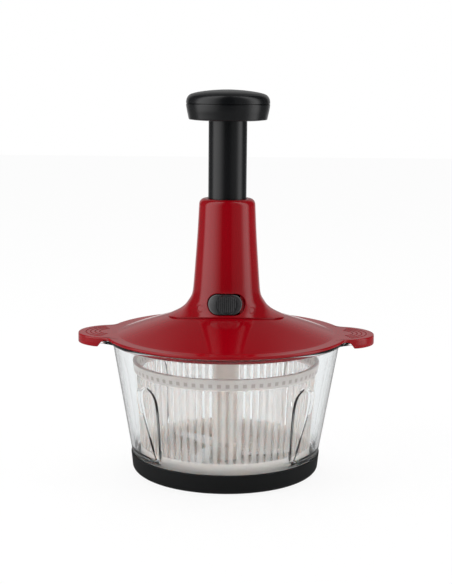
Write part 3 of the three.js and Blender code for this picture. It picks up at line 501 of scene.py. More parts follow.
# %% Mark the edges of the front grips for a painted dark reflection
# The edge of a grip gathers dark reflections, so its line is kept on the mesh, and the finish paints that
# dark reflection into the colour along it
marks_from_z, outer_marks_until_z = 21.5, 58.0
surface_slack, edge_slack = 0.3, 0.05
# This attribute carries the line of painted dark reflection
painted_reflection_line = bowl.data.attributes.new("edge", "FLOAT", "POINT")
for i, point in enumerate(bowl.data.vertices):
    x, y, z = (value / mm for value in point.co)
    size = grip_size(z)
    if size and y < 0 and z > marks_from_z and hypot(x, y) > bowl_outer(z) - surface_slack:
        local = (atan2(y, x) % (pi / 2)) - pi / 4
        lean = 1 if int(atan2(y, x) % tau / (pi / 2)) % 2 == 0 else -1
        across = local * lean * bowl_outer(z) - grip_shift(z)
        narrow, wide = grip_halves(size)
        outer_half = narrow + (wide - narrow) * grip_softness(z)
        at_outer = abs(across + outer_half) < edge_slack and z < outer_marks_until_z
        if abs(across - narrow) < edge_slack or at_outer:
            painted_reflection_line.data[i].value = 1.0
tell(bowl)
print("edge points:", sum(item.value > 0 for item in painted_reflection_line.data))

pin = turned("pivot_pin_steel", rounded([
    (0.0, 5.0), (3.5, 5.0, 0.3), (3.5, 36.3, 1.0), (0.0, 36.3)]), 48)

# %% [markdown]
# ## A tree that repeats a shape round the axis
# The basket's ribs, the drain slots, the posts and the screws all repeat round one axis. One could copy
# each in Python, but Geometry Nodes state the rule once: a row of points, a turned instance on each, and
# one welded mesh at the end. The object's own mesh is the shape that the tree repeats.

# %% Build a tree and apply it
def node_tree(name, inputs):
    tree = bpy.data.node_groups.new(name, "GeometryNodeTree")
    tree.interface.new_socket("Geometry", in_out="INPUT", socket_type="NodeSocketGeometry")
    for label, kind in [*inputs, ("Finish", "Material")]:
        tree.interface.new_socket(label, in_out="INPUT", socket_type="NodeSocket" + kind)
    tree.interface.new_socket("Geometry", in_out="OUTPUT", socket_type="NodeSocketGeometry")
    graph = Graph(tree)
    source = tree.nodes.new("NodeGroupInput")
    wires = {socket.name: Wire(graph, socket) for socket in source.outputs if socket.name}
    return tree, graph, wires


# The result of a tree on a piece becomes a plain mesh of its own
def grown(piece, tree, **values):
    modifier = piece.modifiers.new(tree.name, "NODES")
    modifier.node_group = tree
    for item in tree.interface.items_tree:
        if item.in_out == "INPUT" and item.name in values:
            modifier[item.identifier] = values[item.name]
    shown = piece.evaluated_get(bpy.context.evaluated_depsgraph_get())
    mesh = bpy.data.meshes.new_from_object(shown)
    piece.modifiers.remove(modifier)
    piece.data = mesh
    mesh.name = piece.name
    return piece


# %% Steps that the trees share
# A row starts as points that all lie at the origin, each with its number
def row_of(graph, given):
    row = graph.node("GeometryNodeMeshLine", {"mode": "OFFSET"}, {
        "Count": given["Count"], "Offset": (0, 0, 0)})
    return row, graph.node("GeometryNodeInputIndex")


def real_copies(graph, points, shape, **placing):
    copies = graph.node("GeometryNodeInstanceOnPoints", None, {
        "Points": points, "Instance": shape, **placing})
    return graph.node("GeometryNodeRealizeInstances", None, {"Geometry": copies})


def smoothed(graph, geometry):
    return graph.node("GeometryNodeSetShadeSmooth", None, {0: geometry})


def end_tree(graph, given, geometry):
    finished = graph.node("GeometryNodeSetMaterial", None, {
        "Geometry": geometry, "Material": given["Finish"]})
    graph.tree.links.new(finished.socket, graph.tree.nodes.new("NodeGroupOutput").inputs[0])
    print("tree:", graph.tree.name, "with", len(graph.tree.nodes), "nodes")


# %% The tree round the axis
around, graph, given = node_tree("around_the_axis", [
    ("Count", "Int"), ("Turn", "Float"), ("Start", "Float"), ("Weld", "Float")])
row, index = row_of(graph, given)
rotation = graph.node("ShaderNodeCombineXYZ", None, {"Z": index * given["Turn"] + given["Start"]})
real = real_copies(graph, row, given["Geometry"], Rotation=rotation)
welded = graph.node("GeometryNodeMergeByDistance", None, {"Geometry": real, "Distance": given["Weld"]})
end_tree(graph, given, smoothed(graph, welded))


def repeated(piece, count, finish, start=0.0):
    return grown(piece, around, Count=count, Turn=tau / count, Start=start, Weld=merge_distance * mm,
                 Finish=finish)


# %% [markdown]
# ## Finishes
# Every finish is a procedural tree on one Principled shader. Moulded plastic is never one flat colour:
# the tone drifts a little, the gloss varies, and the surface carries a faint texture from the tool that
# moulded it. Patterns read Object coordinates, in metres, so they stay put on each piece.

# %% A row of small painted shade marks round a turned piece
# Each mark is a small darker square between two heights, painted shade where a small recess would be, and its
# place is worked out from the azimuth.
# The thicker band that carries the marks is a little darker too. It begins just below them.
painted_shade_colour = (0.3, 0.25, 0.22, 1.0)
band_shade = (0.74, 0.735, 0.735, 1.0)
mark_blur = 0.3
mark_core, mark_edge = 0.2, 0.26
band_starts_below, band_full_below = 2.4, 1.8


def painted_shade_marks(graph, place, tone, count, phase, low, high, depth):
    x, y, z = graph.axes(place)
    azimuth = graph.maths("ARCTAN2", y, x) * (count / tau)
    near = graph.maths("PINGPONG", azimuth - phase, 0.5)
    inside = graph.climb(near, mark_core, mark_edge, 1.0, 0.0)
    above, below = [graph.climb(z, (edge - mark_blur) * mm, (edge + mark_blur) * mm) for edge in (low, high)]
    marked = graph.mix(inside * (above - below) * depth, tone, painted_shade_colour, "MULTIPLY")
    band = graph.climb(z, (low - band_starts_below) * mm, (low - band_full_below) * mm)
    return graph.mix(band, marked, band_shade, "MULTIPLY")


# %% Painted dark reflections along the edges of clear plastic
# A clear wall seen at a grazing angle gathers dark reflections, below the height where the rim begins. Here
# they are painted reflection: a darker base colour along the marked grip edges and at grazing angles
grazing_reflection_strength = 0.55
dark_until_z, clear_from_z = 104.0, 106.5


def painted_dark_reflections(graph, place, tone, tint):
    edge = graph.node("ShaderNodeAttribute", {"attribute_name": "edge"}, out=2)
    line = graph.smooth_climb(edge, 0.7, 0.96)
    facing = graph.node("ShaderNodeLayerWeight", None, {"Blend": 0.5}, out=1)
    grazing = graph.smooth_climb(facing, 0.78, 0.93, grazing_reflection_strength)
    below_rim = graph.climb(graph.axes(place)[2], dark_until_z * mm, clear_from_z * mm, 1.0, 0.0)
    return graph.mix(graph.maths("MAXIMUM", line, grazing * below_rim), tone, tint)


# %% One helper for the finishes
clear_blur = 0.6
drift_scale, wave_scale = 14.0, 45.0


def scaled(colour, share):
    return tuple(min(channel * share, 1.0) for channel in colour) + (1.0,)


def noise(graph, place, scale, detail):
    return graph.node("ShaderNodeTexNoise", None, {"Vector": place, "Scale": scale, "Detail": detail})


def finish(name, colour, rough, drift=0.06, grain=0.0, grain_scale=900.0, wave=0.0, rough_drift=0.25,
           clear_between=None, painted_reflection_tint=None, marks=None, **sockets):
    material = bpy.data.materials.new(name)
    graph = blank_graph(material)
    place = graph.node("ShaderNodeTexCoord", out=3)
    slow = noise(graph, place, drift_scale, 3.0)
    tone = graph.mix(slow, scaled(colour, 1 - drift), scaled(colour, 1 + drift))
    # Painted dark reflection along marked edges and at grazing angles
    if painted_reflection_tint:
        tone = painted_dark_reflections(graph, place, tone, scaled(colour, painted_reflection_tint))
    # Painted shade marks in a row round the piece
    if marks:
        tone = painted_shade_marks(graph, place, tone, *marks)
    relief = noise(graph, place, grain_scale, 2.0) * grain + noise(graph, place, wave_scale, 1.0) * wave
    bump = graph.node("ShaderNodeBump", None, {"Strength": 1.0, "Distance": mm, "Height": relief})
    gloss = rough * (1 - rough_drift) + slow * (2 * rough * rough_drift)
    values = {"Base Color": tone, "Roughness": gloss, "Normal": bump}
    if clear_between:
        thin, thick, *edges = clear_between
        height = graph.axes(place)[2]
        low, high = [graph.climb(height, (edge - clear_blur) * mm, (edge + clear_blur) * mm)
                     for edge in edges]
        values["Alpha"] = (low - high) * (thin - thick) + thick
    for socket, value in sockets.items():
        values[socket.replace("_", " ")] = value
    shader = graph.node("ShaderNodeBsdfPrincipled", None, values)
    graph.node("ShaderNodeOutputMaterial", None, {"Surface": shader})
    return material


# %% The finishes of the chopper
# Their keys are the record's material slots. Two pieces have a finish of their own.
milky = {"Subsurface_Weight": 0.85, "Subsurface_Radius": (0.008, 0.007, 0.0065)}
finishes = {
    "red_plastic": finish(
        "glossy red plastic", (0.28, 0.0004, 0.005), 0.1, drift=0.05, grain=0.004, wave=0.02,
        Specular_IOR_Level=0.5, IOR=1.5),
    "black_plastic": finish(
        "satin black plastic", (0.0026, 0.003, 0.0036), 0.24, drift=0.15, grain=0.02, grain_scale=1400.0,
        IOR=1.5),
    "charcoal_plastic": finish(
        "charcoal plastic", (0.014, 0.0145, 0.0158), 0.22, drift=0.12, grain=0.02, grain_scale=1600.0,
        IOR=1.85),
    "black_rubber": finish(
        "matt black rubber", (0.0075, 0.008, 0.0085), 0.58, drift=0.15, grain=0.05, grain_scale=1100.0,
        rough_drift=0.1, Specular_IOR_Level=0.25),
    # The bowl's colour carries painted dark reflection at its grip edges and grazing edges
    "clear_plastic": finish(
        "clear bowl plastic", (0.94, 0.955, 0.96), 0.0, drift=0.004, painted_reflection_tint=0.05, Transmission_Weight=1.0,
        IOR=1.52),
    # The basket's band carries painted shade marks above its slots
    "milky_plastic": finish(
        "milky basket plastic", (0.93, 0.88, 0.84), 0.4, drift=0.03, grain=0.01,
        clear_between=(0.28, 0.62, 24.0, 82.0), marks=(72, 0.22, 84.6, 87.6, 0.55), **milky),
    "cream_plastic": finish(
        "cream plastic", (0.62, 0.47, 0.37), 0.45, drift=0.04, grain=0.01, Subsurface_Weight=0.15,
        Subsurface_Radius=(0.004, 0.003, 0.002)),
    "white_plastic": finish("white plastic", (0.76, 0.75, 0.72), 0.42, drift=0.03, grain=0.01),
    "silicone": finish("pale silicone", (0.34, 0.03, 0.04), 0.45, drift=0.04, grain=0.02, Alpha=0.3),
    "steel": finish(
        "blade steel", (0.58, 0.585, 0.59), 0.22, drift=0.05, grain=0.01, grain_scale=2500.0, Metallic=1.0),
}
# The ear arcs get a darker, rougher red: its darker colour is painted shade along the small ridges
shaded_dull_red = finish("dull red plastic", (0.22, 0.0006, 0.005), 0.5, grain=0.004, Specular_IOR_Level=0.15)
milky_column = finish("milky column plastic", (0.93, 0.875, 0.82), 0.4, drift=0.03, grain=0.01, Alpha=0.6,
                      **milky)
print("finishes:", len(finishes) + 2)

# %% [markdown]
# ## Basket
# The basket is milky plastic: a tapered wall with 72 upright slots, a plain band at its rim, a solid
# band at its foot, and twelve drain slots in its floor. A twelfth of it is modelled as rings of
# points with the slots left open, and the tree turns that twelfth round the axis and welds it.

# %% Columns of one twelfth of the basket
basket_slots = 72
basket_sectors = 12
slot_pitch = tau / basket_slots
slot_phase = 0.22 * slot_pitch
slot_edge = 1.225 / 70
rib_edge = slot_edge + 0.45 / 70
cell_steps = (0.0, slot_edge, rib_edge, slot_pitch / 2, slot_pitch - rib_edge, slot_pitch - slot_edge)
sector_angles = [slot_pitch * k + step for k in range(-3, 3) for step in cell_steps] + [3 * slot_pitch]
cells = len(cell_steps)
sector_centre = 3 * cells

# %% Path of the basket's wall
slot_bottom_z, slot_top_z = 24.5, 81.5
slot_levels = evenly(slot_bottom_z, slot_top_z, 6)
band_z = 83.5
slotted_wall = 2.0
basket_top_z, basket_under_z, basket_floor_z = 91.5, 8.0, 10.0
drain_radii = [28.0, 38.0, 48.0, 58.0]
drain_half = 1.2


def basket_outer(z):
    return 68.0 + 4.0 * (z - basket_under_z) / (band_z - basket_under_z)


wall_out = [(basket_outer(z), z) for z in slot_levels]
wall_in = [(basket_outer(z) - slotted_wall, z) for z in slot_levels]
basket_path = [
    *[(radius, basket_under_z) for radius in drain_radii],
    *rounded([(60.0, basket_under_z), (60.0, 6.4, 0.4), (63.0, 6.4, 0.4), (63.2, basket_under_z, 0.3)]),
    *[(65.0 + 3.0 * sin(a), 11.0 - 3.0 * cos(a)) for a in quarter(6)],
    (basket_outer(slot_bottom_z - 2), slot_bottom_z - 2),
    *wall_out,
    *rounded([(71.95, 82.0), (72.05, 82.4, 0.3), (73.8, band_z, 0.4), (75.2, basket_top_z, 0.7),
              (71.6, basket_top_z, 0.7), (70.1, 82.6, 1.5)])[:-1],
    *wall_in[::-1],
    (basket_outer(slot_bottom_z - 2) - slotted_wall, slot_bottom_z - 2),
    *[(64.2 + 2.0 * sin(a), 12.0 - 2.0 * cos(a)) for a in quarter(5)[::-1]],
    *[(radius, basket_floor_z) for radius in drain_radii[::-1]],
    *rounded([(15.0, basket_floor_z), (6.9, basket_floor_z, 0.4), (6.9, basket_under_z, 0.4),
              (15.0, basket_under_z)]),
]
place_of = {point: i for i, point in enumerate(basket_path)}
windows = [([place_of[point] for point in wall_out], [place_of[point] for point in wall_in], None),
           ([place_of[(radius, basket_under_z)] for radius in drain_radii],
            [place_of[(radius, basket_floor_z)] for radius in drain_radii], sector_centre)]


# %% Rings and faces of one twelfth
bend_radius = 62.0
half_sector = 3 * slot_pitch


# Angle of a column at a radius: on the floor the middle columns part round the straight drain slot
def column_angle(column, radius, z):
    angle = sector_angles[column]
    if z > basket_floor_z + 1 or radius > bend_radius:
        return angle
    edge = drain_half / max(radius, drain_radii[0])
    spread = abs(angle)
    if spread <= slot_edge:
        return angle * edge / slot_edge
    outside = edge + (spread - slot_edge) * (half_sector - edge) / (half_sector - slot_edge)
    return outside if angle > 0 else -outside


def sector_ring(radius, z, crown):
    ring = []
    for column in range(len(sector_angles)):
        angle = column_angle(column, radius, z)
        here = radius + (crown if column % cells in (1, cells - 1) else 0.0)
        ring.append((here * cos(angle), here * sin(angle), z))
    return ring


basket_points, basket_faces = [], []
width = len(sector_angles)
crowns = {**dict.fromkeys(windows[0][0], -0.3), **dict.fromkeys(windows[0][1], 0.2)}
for i, (radius, z) in enumerate(basket_path):
    basket_points += sector_ring(radius, z, crowns.get(i, 0.0))


def add_face(level, column, above, beside):
    basket_faces.append((level * width + column, level * width + beside, above * width + beside,
                         above * width + column))


def is_open(level, column):
    for outer, inner, only in windows:
        if any(min(side) <= level < max(side) for side in (outer, inner)):
            return column in (only - 1, only) if only is not None else column % cells in (0, cells - 1)
    return False


for level in range(len(basket_path)):
    for column in range(width - 1):
        if not is_open(level, column):
            add_face(level, column, (level + 1) % len(basket_path), column + 1)
for outer, inner, only in windows:
    for slot in [only] if only is not None else range(0, width, cells):
        for edge in (slot - 1, slot + 1):
            if 0 <= edge < width:
                for (a, b), (c, d) in zip(zip(outer, outer[1:]), zip(inner, inner[1:])):
                    basket_faces.append(tuple(level * width + edge for level in (a, b, d, c)))
        for column in (slot - 1, slot):
            if 0 <= column < width - 1:
                for end in (0, -1):
                    add_face(outer[end], column, inner[end], column + 1)

# %% Turn the twelfth round the axis
basket = build("basket_milky", basket_points, basket_faces)
basket = repeated(basket, basket_sectors, finishes["milky_plastic"], start=slot_phase)
tell(basket)

# %% [markdown]
# ## Blade column and blades
# A milky tube stands on a hub in the middle of the basket, with a cream core inside it. Three thin
# sickles of steel leave the hub at three heights, a third of a turn apart. The tube, the hub and the core
# are turned. A blade is a row of sections, each flat below and ground to an edge on one side.

# %% Turn the column and its core
column = turned("blade_column_milky", rounded([
    (3.9, 10.6, 0.3), (14.0, 10.6, 0.8), (14.0, 21.6, 1.0), (10.95, 23.6, 1.2), (10.4, 100.0, 0.5),
    (8.1, 100.0, 0.3), (8.1, 23.6), (3.9, 23.6)]), 96)
core = turned("column_core_cream", rounded([
    (3.9, 23.9), (7.8, 23.9, 0.3), (7.8, 27.4, 0.3), (6.8, 27.4, 0.3), (6.8, 96.5, 0.3), (7.8, 96.5, 0.3),
    (7.8, 100.0, 0.3), (5.3, 100.0, 0.3), (5.3, 87.1), (0.0, 87.1), (0.0, 36.7), (3.9, 36.7)]), 72)

# %% Skin the three blades
blade_root, blade_reach, blade_sweep = 13.7, 62.0, 13.0
blade_width, blade_tip_width, blade_end_width = 15.0, 3.0, 1.2
blade_thickness, bevel_share = 1.2, 0.3
blade_steps = 36


def blade(name, z, turn):
    rings = []
    for share, x in zip(evenly(0.0, 1.0, blade_steps), evenly(blade_root, blade_reach, blade_steps)):
        wide = blade_tip_width + (blade_width - blade_tip_width) * sqrt(1 - share**3)
        wide = wide if share < 1 else blade_end_width
        middle = blade_sweep * share**2
        back, edge = middle - wide / 2, middle + wide / 2
        section = [(back + 0.2, 0.0), (edge - 0.05, 0.0), (edge, 0.06), (edge - 0.05, 0.12),
                   (edge - wide * bevel_share, blade_thickness), (back + 0.25, blade_thickness),
                   (back, blade_thickness - 0.25), (back, 0.25)]
        rings.append([(*turned_by(x, y, turn), z + up) for y, up in section])
    return capped(name, rings)


blades = [blade(f"blade_{name}_steel", 12.6 + 3.8 * i, tau * i / 3)
          for i, name in enumerate(("lower", "middle", "upper"))]
tell(*blades)

# %% [markdown]
# ## Lid
# The lid is one glossy moulding: a shallow dome, a flat flange with two ears, a short skirt that drops
# into the bowl, and a curtain that hangs from each ear. Since every ring of it has as many points, the
# whole lid is one skin, from the hole at the top, out over the flange and back underneath.

# %% Shape of the dome
dome_knots = [(crease_radius, 0.0), (50.0, 11.7), (24.0, 18.6)]
dome_wall = 2.2
dome_hole = 23.0


def dome_top(radius):
    rise = 0.0
    for i, (r, z) in enumerate(dome_knots):
        share = z
        for j, (other, _) in enumerate(dome_knots):
            if j != i:
                share *= (radius - other) / (r - other)
        rise += share
    return flange_top_z + 0.3 + rise


# %% Skin the lid
flange_edge = eared(96.0, 28.0, 8.0)
edge_round = 0.75
curtain_start, curtain_round, curtain_drop = 98.6, 3.5, 5.3
curtain_wall = 2.0
quarter_turns = quarter(5)


# How far the flange's edge hangs down at a point of its outline: nothing, or the curtain of an ear
def hang(x):
    share = clamp((abs(x) - curtain_start) / curtain_round)
    return curtain_drop * sqrt(1 - (1 - share) ** 2)


# The outline's points gather at the curtain's rounded corners
def edge_ring(inset, z, drop=0.0):
    return [(x - u * inset, y - v * inset, z - drop * hang(x)) for x, y, u, v in flange_edge]


lid_columns = len(flange_edge)
dome_radii = evenly(dome_hole + 0.15, crease_radius, 40)
under_z = flange_under_z
lid = skin("lid_red", [
    circle(dome_hole, dome_top(dome_hole) - 0.6, lid_columns),
    *[circle(radius, dome_top(radius), lid_columns) for radius in dome_radii],
    circle(crease_radius + 0.5, flange_top_z + 0.05, lid_columns),
    *[circle(crease_radius + out, flange_top_z, lid_columns) for out in (1.1, 3.5)],
    *[edge_ring(inset, flange_top_z) for inset in (3.0, edge_round * 1.5)],
    *[edge_ring(edge_round * (1 - sin(a)), flange_top_z - edge_round * (1 - cos(a))) for a in quarter_turns],
    edge_ring(0.0, flange_top_z - 1.2),
    *[edge_ring(inset, under_z + lift, drop) for inset, lift, drop in [
        (0.0, 0.5, 0.25), (0.0, 0.45, 0.5), (0.0, 0.4, 1.0), (0.15, 0.1, 1.0), (0.45, 0.0, 1.0),
        (curtain_wall - 0.4, 0.0, 1.0), (curtain_wall, 0.0, 0.93), (curtain_wall, 0.0, 0.3),
        (curtain_wall + 0.1, 0.0, 0.0), (4.5, 0.0, 0.0)]],
    *[circle(radius, z, lid_columns) for radius, z in [
        (skirt_radius + 0.6, under_z), (skirt_radius, under_z - 0.5), (skirt_radius, 109.4),
        (86.4, 109.4), (86.4, 107.4), (skirt_radius, 107.4), (skirt_radius, 106.7), (86.6, 106.3),
        (85.4, 106.3), (85.0, 106.7), (85.0, 110.0), (84.4, dome_top(84.4) - dome_wall)]],
    *[circle(radius, dome_top(radius) - dome_wall, lid_columns) for radius in dome_radii[-3::-3]],
    circle(dome_hole, dome_top(dome_hole) - dome_wall, lid_columns),
], wrap=True)
tell(lid)

# %% [markdown]
# ## Neck
# The neck is a tapered tower that flares into an oval foot on the dome, with a rounded lip at its top
# and a slot for the lock. Its outside is a smooth surface in two numbers: how far up, and how far round.
# Round the slot the grid gives way to rings that turn from a rectangle into the slot's outline, all
# lying on the same surface, so that the gloss runs up to the edge without a dent.

# %% The neck's surface
waist_z = flange_top_z + 38.4
waist_radius, top_radius = 26.45, 22.3
lip_width, lip_height = 4.15, 5.2
shoulder_z = neck_top_z - lip_height
foot_half_x, foot_half_y = 46.5, 32.0
foot_edge = 0.8
halvings = 34
flare_heights = (0, 0.1, 0.208, 0.339, 0.473, 0.604, 0.735, 1)
flare_spreads = (1, 0.74, 0.516, 0.327, 0.207, 0.107, 0.045, 0)
taper_heights = (0.3, 0.65, 1)
taper_shares = (0.35, 0.723, 1)


def neck_path(half):
    base_z = dome_top(half) + 0.3 + foot_edge
    path = [(waist_radius + (half - waist_radius) * spread, base_z + (waist_z - base_z) * height)
            for height, spread in zip(flare_heights, flare_spreads)]
    radius_change, climb = top_radius - waist_radius, shoulder_z - waist_z
    return path + [(waist_radius + radius_change * share, waist_z + climb * height)
                   for height, share in zip(taper_heights, taper_shares)]


across_path, along_path = neck_path(foot_half_x), neck_path(foot_half_y)
spans = len(across_path) - 1


def path_at(path, level):
    i = min(int(level), spans - 1)
    ends = [path[max(i - 1, 0)], path[i], path[i + 1], path[min(i + 2, spans)]]
    return spline(ends, level - i)


# The two half profiles at a level, moved along their normals by a distance, outwards when positive
def profile_at(path, level, distance):
    here = path_at(path, level)
    if not distance:
        return here
    ahead = path_at(path, min(level + 0.02, spans)) - path_at(path, max(level - 0.02, 0.0))
    return here + Vector((ahead.y, -ahead.x)).normalized() * distance


def neck_point(level, angle, distance=0.0):
    across, along = profile_at(across_path, level, distance), profile_at(along_path, level, distance)
    c, s = cos(angle), sin(angle)
    return (across.x * c, along.x * s, across.y * c * c + along.y * s * s)


# The point on the front of the neck at a place in the front view, found by halving the span of levels
def neck_front(x, z, distance=0.0):
    low, high = 0.0, float(spans)
    for _ in range(halvings):
        level = (low + high) / 2
        across, along = profile_at(across_path, level, distance), profile_at(along_path, level, distance)
        c = max(-1.0, min(1.0, x / across.x))
        if across.y * c * c + along.y * (1 - c * c) < z:
            low = level
        else:
            high = level
    return (x, -along.x * sqrt(max(1 - c * c, 0.0)), z)


# %% A slot's outline, and rings that lie on the neck
slot_centre_z = 140.2
slot_half_length, slot_half_height = 14.9, 8.2
slot_round = 0.4


# Points of a rounded slot's outline, spread by the directions that they are seen in from its centre
def slot_outline(half_length, half_height, directions, centre_x=0.0):
    straight = half_length - half_height
    points = []
    for direction in directions:
        dx, dz = cos(direction), sin(direction)
        reach = half_height / abs(dz) if abs(dz) > 1e-6 else 1e9
        if reach * abs(dx) > straight:
            along = straight * abs(dx)
            reach = along + sqrt(max(along * along - straight * straight + half_height * half_height, 0.0))
        points.append((centre_x + reach * dx, slot_centre_z + reach * dz))
    return points


# %% Grid of the neck, with a window for the slot
neck_columns, neck_wall = 120, 2.4
first_column, last_column = 75, 105
window_high = 7.4
row_levels = evenly(0.0, window_high, 24) + evenly(window_high, spans, 10)[1:]
low_row, high_row = 0, 24
angles = evenly(0.0, tau, neck_columns)[:-1]
border = ([(low_row, column) for column in range(first_column, last_column)]
          + [(row, last_column) for row in range(low_row, high_row)]
          + [(high_row, column) for column in range(last_column, first_column, -1)]
          + [(row, first_column) for row in range(high_row, low_row, -1)])


def above_dome(point):
    return (point[0], point[1], max(point[2], dome_top(hypot(point[0], point[1])) + 0.3))


def neck_shell(distance, margin, directions=None):
    rows = [[above_dome(neck_point(level, angle, distance)) for angle in angles] for level in row_levels]
    frame_points = [rows[row][column] for row, column in border]
    directions = directions or [atan2(point[2] - slot_centre_z, point[0]) for point in frame_points]
    edge = slot_outline(slot_half_length + margin, slot_half_height + margin, directions)
    window = [[neck_front(p[0] + (x - p[0]) * share, p[2] + (z - p[2]) * share, distance)
               for p, (x, z) in zip(frame_points, edge)] for share in evenly(0.0, 1.0, 8)[1:]]
    return rows, window, directions


outer_rows, outer_window, directions = neck_shell(0.0, slot_round)
inner_rows, inner_window, _ = neck_shell(-neck_wall, 0.0, directions)
slot_lip = []
for a in quarter(4)[1:]:
    inset, sink = slot_round * (1 - sin(a)), slot_round * (1 - cos(a))
    outline = slot_outline(slot_half_length + inset, slot_half_height + inset, directions)
    slot_lip.append([(x, neck_front(x, z)[1] + sink, z) for x, z in outline])
slot_lip.append([(x, y + slot_round, z) for x, y, z in slot_lip[-1]])


# %% Skin the neck
def foot_ring(inset, lift):
    places = [((foot_half_x - inset) * cos(angle), (foot_half_y - inset) * sin(angle)) for angle in angles]
    return [(x, y, dome_top(hypot(x, y)) + 0.08 + lift) for x, y in places]


neck_points, neck_faces = [], []


def add_rings(rings):
    start = len(neck_points)
    neck_points.extend(point for ring in rings for point in ring)
    neck_faces.extend(skin_faces(len(rings), len(rings[0]), False, start))


def add_grid(rows):
    start = len(neck_points)
    neck_points.extend(point for row in rows for point in row)
    for row in range(len(rows) - 1):
        for column in range(neck_columns):
            if not (low_row <= row < high_row and first_column <= column < last_column):
                a, b = start + row * neck_columns, start + (row + 1) * neck_columns
                beside = (column + 1) % neck_columns
                neck_faces.append((a + column, a + beside, b + beside, b + column))


def border_of(rows):
    return [rows[row][column] for row, column in border]


lip_arc = [(top_radius - lip_width * (1 - cos(a)), shoulder_z + lip_height * sin(a)) for a in quarter(12)]
mouth = rounded([(top_radius - 3.8, neck_top_z), (15.5, neck_top_z, 0.5), (15.5, 217.2, 0.3), (19.9, 217.2)])
add_rings([*[foot_ring(inset, lift) for inset, lift in ((1.6, 0.0), (0.3, 0.0), (0.06, 0.12), (0.0, 0.35))],
           outer_rows[0]])
add_grid(outer_rows)
add_rings([outer_rows[-1], *[circle(radius, z, neck_columns) for radius, z in lip_arc[1:] + mouth],
           inner_rows[-1]])
add_grid(inner_rows)
add_rings([inner_rows[0], foot_ring(2.6, 0.5), foot_ring(2.0, 0.0), foot_ring(1.6, 0.0)])
add_rings([border_of(outer_rows), *outer_window, *slot_lip, inner_window[-1]])
add_rings([border_of(inner_rows), *inner_window])
neck = build("neck_red", neck_points, neck_faces)
tell(neck)

# %% Floors at the slot's two ends
# A thin ledge behind each end of the slot closes it. The one on the left is shorter, because the button's
# head comes off the curve of the neck there when it slides.
ledge_end, ledge_half = 15.4, 8.6
ledge_front, ledge_back = -2.0, -2.45


def slot_ledge(name, side, ledge_start):
    heights = evenly(slot_centre_z - ledge_half, slot_centre_z + ledge_half, 12)
    return capped(name, [
        [neck_front(x, z, depth) for depth, row in ((ledge_front, heights), (ledge_back, heights[::-1]))
         for z in row] for x in evenly(side * ledge_start, side * ledge_end, 8)])


slot_ledges = [slot_ledge("slot_ledge_right_red", 1, 10.7), slot_ledge("slot_ledge_left_red", -1, 12.9)]
tell(*slot_ledges)

# %% [markdown]
# ## Lock button and its hook
# The lock is a dark slider in the neck's slot. Its face follows the neck, stands a little proud, and is
# dished in the middle, where ten upright ribs give the thumb a grip. The face is a fan of shrinking
# outlines laid on the neck's own surface. The ribs repeat, so a node tree makes them.

# %% Skin the button
button_rest_x = -1.0
button_half_length, button_half_height = 13.4, 7.6
head_depth, stem_share, stem_back_y = 1.75, 0.6, -23.9
button_proud, button_round = 0.7, 0.7
dish_half_x, dish_half_z, dish_depth = 8.2, 8.6, 0.5
dish_x, dish_edge_share = 1.5, 0.22
button_directions = evenly(0.0, tau, 96)[:-1]


def button_ring(share, drop, inset=0.0):
    ring = []
    for x, z in slot_outline(button_half_length - inset, button_half_height - inset, button_directions):
        x, z = x * share, slot_centre_z + (z - slot_centre_z) * share
        reach = hypot((x - dish_x) / dish_half_x, (z - slot_centre_z) / dish_half_z)
        sunk = drop + dish_depth * eased(clamp((1.0 - reach) / dish_edge_share))
        ring.append((x + button_rest_x, neck_front(x, z, button_proud)[1] + sunk, z))
    return ring


stem = button_ring(stem_share, 0.0)
deep = head_depth + button_proud
face_centre = (button_rest_x, neck_front(0.0, slot_centre_z, button_proud)[1] + dish_depth, slot_centre_z)
lock_button = skin("lock_button_charcoal", [
    [(button_rest_x, stem_back_y, slot_centre_z)] * len(stem),
    *[[(x, back_y, z) for x, _, z in stem] for back_y in (stem_back_y, stem_back_y - 0.05)],
    [(x, y + deep - 0.2, z) for x, y, z in stem],
    button_ring(stem_share, deep),
    *[button_ring(1.0, drop) for drop in (deep, deep - 0.2, button_round + 0.6, button_round)],
    *[button_ring(1.0, button_round * (1 - sin(a)), button_round * (1 - cos(a))) for a in quarter_turns[1:]],
    *[button_ring(share, 0.0, button_round) for share in evenly(0.02, 1.0, 22)[-2::-1]],
    [face_centre] * len(stem),
])

# %% Skin one rib
rib_count, rib_pitch, rib_half, rib_length = 10, 1.52, 0.36, 11.6
rib_shift, rib_sunk, rib_tuck = 1.3, 0.05, 0.35
rib_section = [(-rib_half, 0.9), (-rib_half, 0.32), (-0.2, 0.02), (0.0, -0.06), (0.2, 0.02), (rib_half, 0.32),
               (rib_half, 0.9)]
rib_levels = evenly(slot_centre_z - rib_length / 2, slot_centre_z + rib_length / 2, 10)
rib_rings = []
for z in rib_levels:
    tuck = rib_tuck if z in (rib_levels[0], rib_levels[-1]) else 0.0
    middle = neck_front(0.0, z, button_proud)[1] + rib_sunk
    rib_rings.append([(x, middle + y + tuck, z) for x, y in rib_section])
rib = capped("lock_ribs_charcoal", rib_rings)

# %% Grow the row of ribs
# The face of the button bows back to both sides, so a rib moves back by the square of its place
face_radius = 27.9
in_a_row, graph, given = node_tree("in_a_row", [
    ("Count", "Int"), ("Pitch", "Float"), ("Start", "Float"), ("Bow", "Float")])
row, index = row_of(graph, given)
across = index * given["Pitch"] + given["Start"]
from_middle = across - button_rest_x * mm
back = from_middle * from_middle * given["Bow"]
offset = graph.node("ShaderNodeCombineXYZ", None, {"X": across, "Y": back})
placed = graph.node("GeometryNodeSetPosition", None, {"Geometry": row, "Offset": offset})
end_tree(graph, given, real_copies(graph, placed, given["Geometry"]))
lock_ribs = grown(rib, in_a_row, Count=rib_count, Pitch=rib_pitch * mm, Bow=1 / (2 * face_radius * mm),
                  Start=(button_rest_x + rib_shift - rib_pitch * (rib_count - 1) / 2) * mm,
                  Finish=finishes["charcoal_plastic"])
tell(lock_ribs)

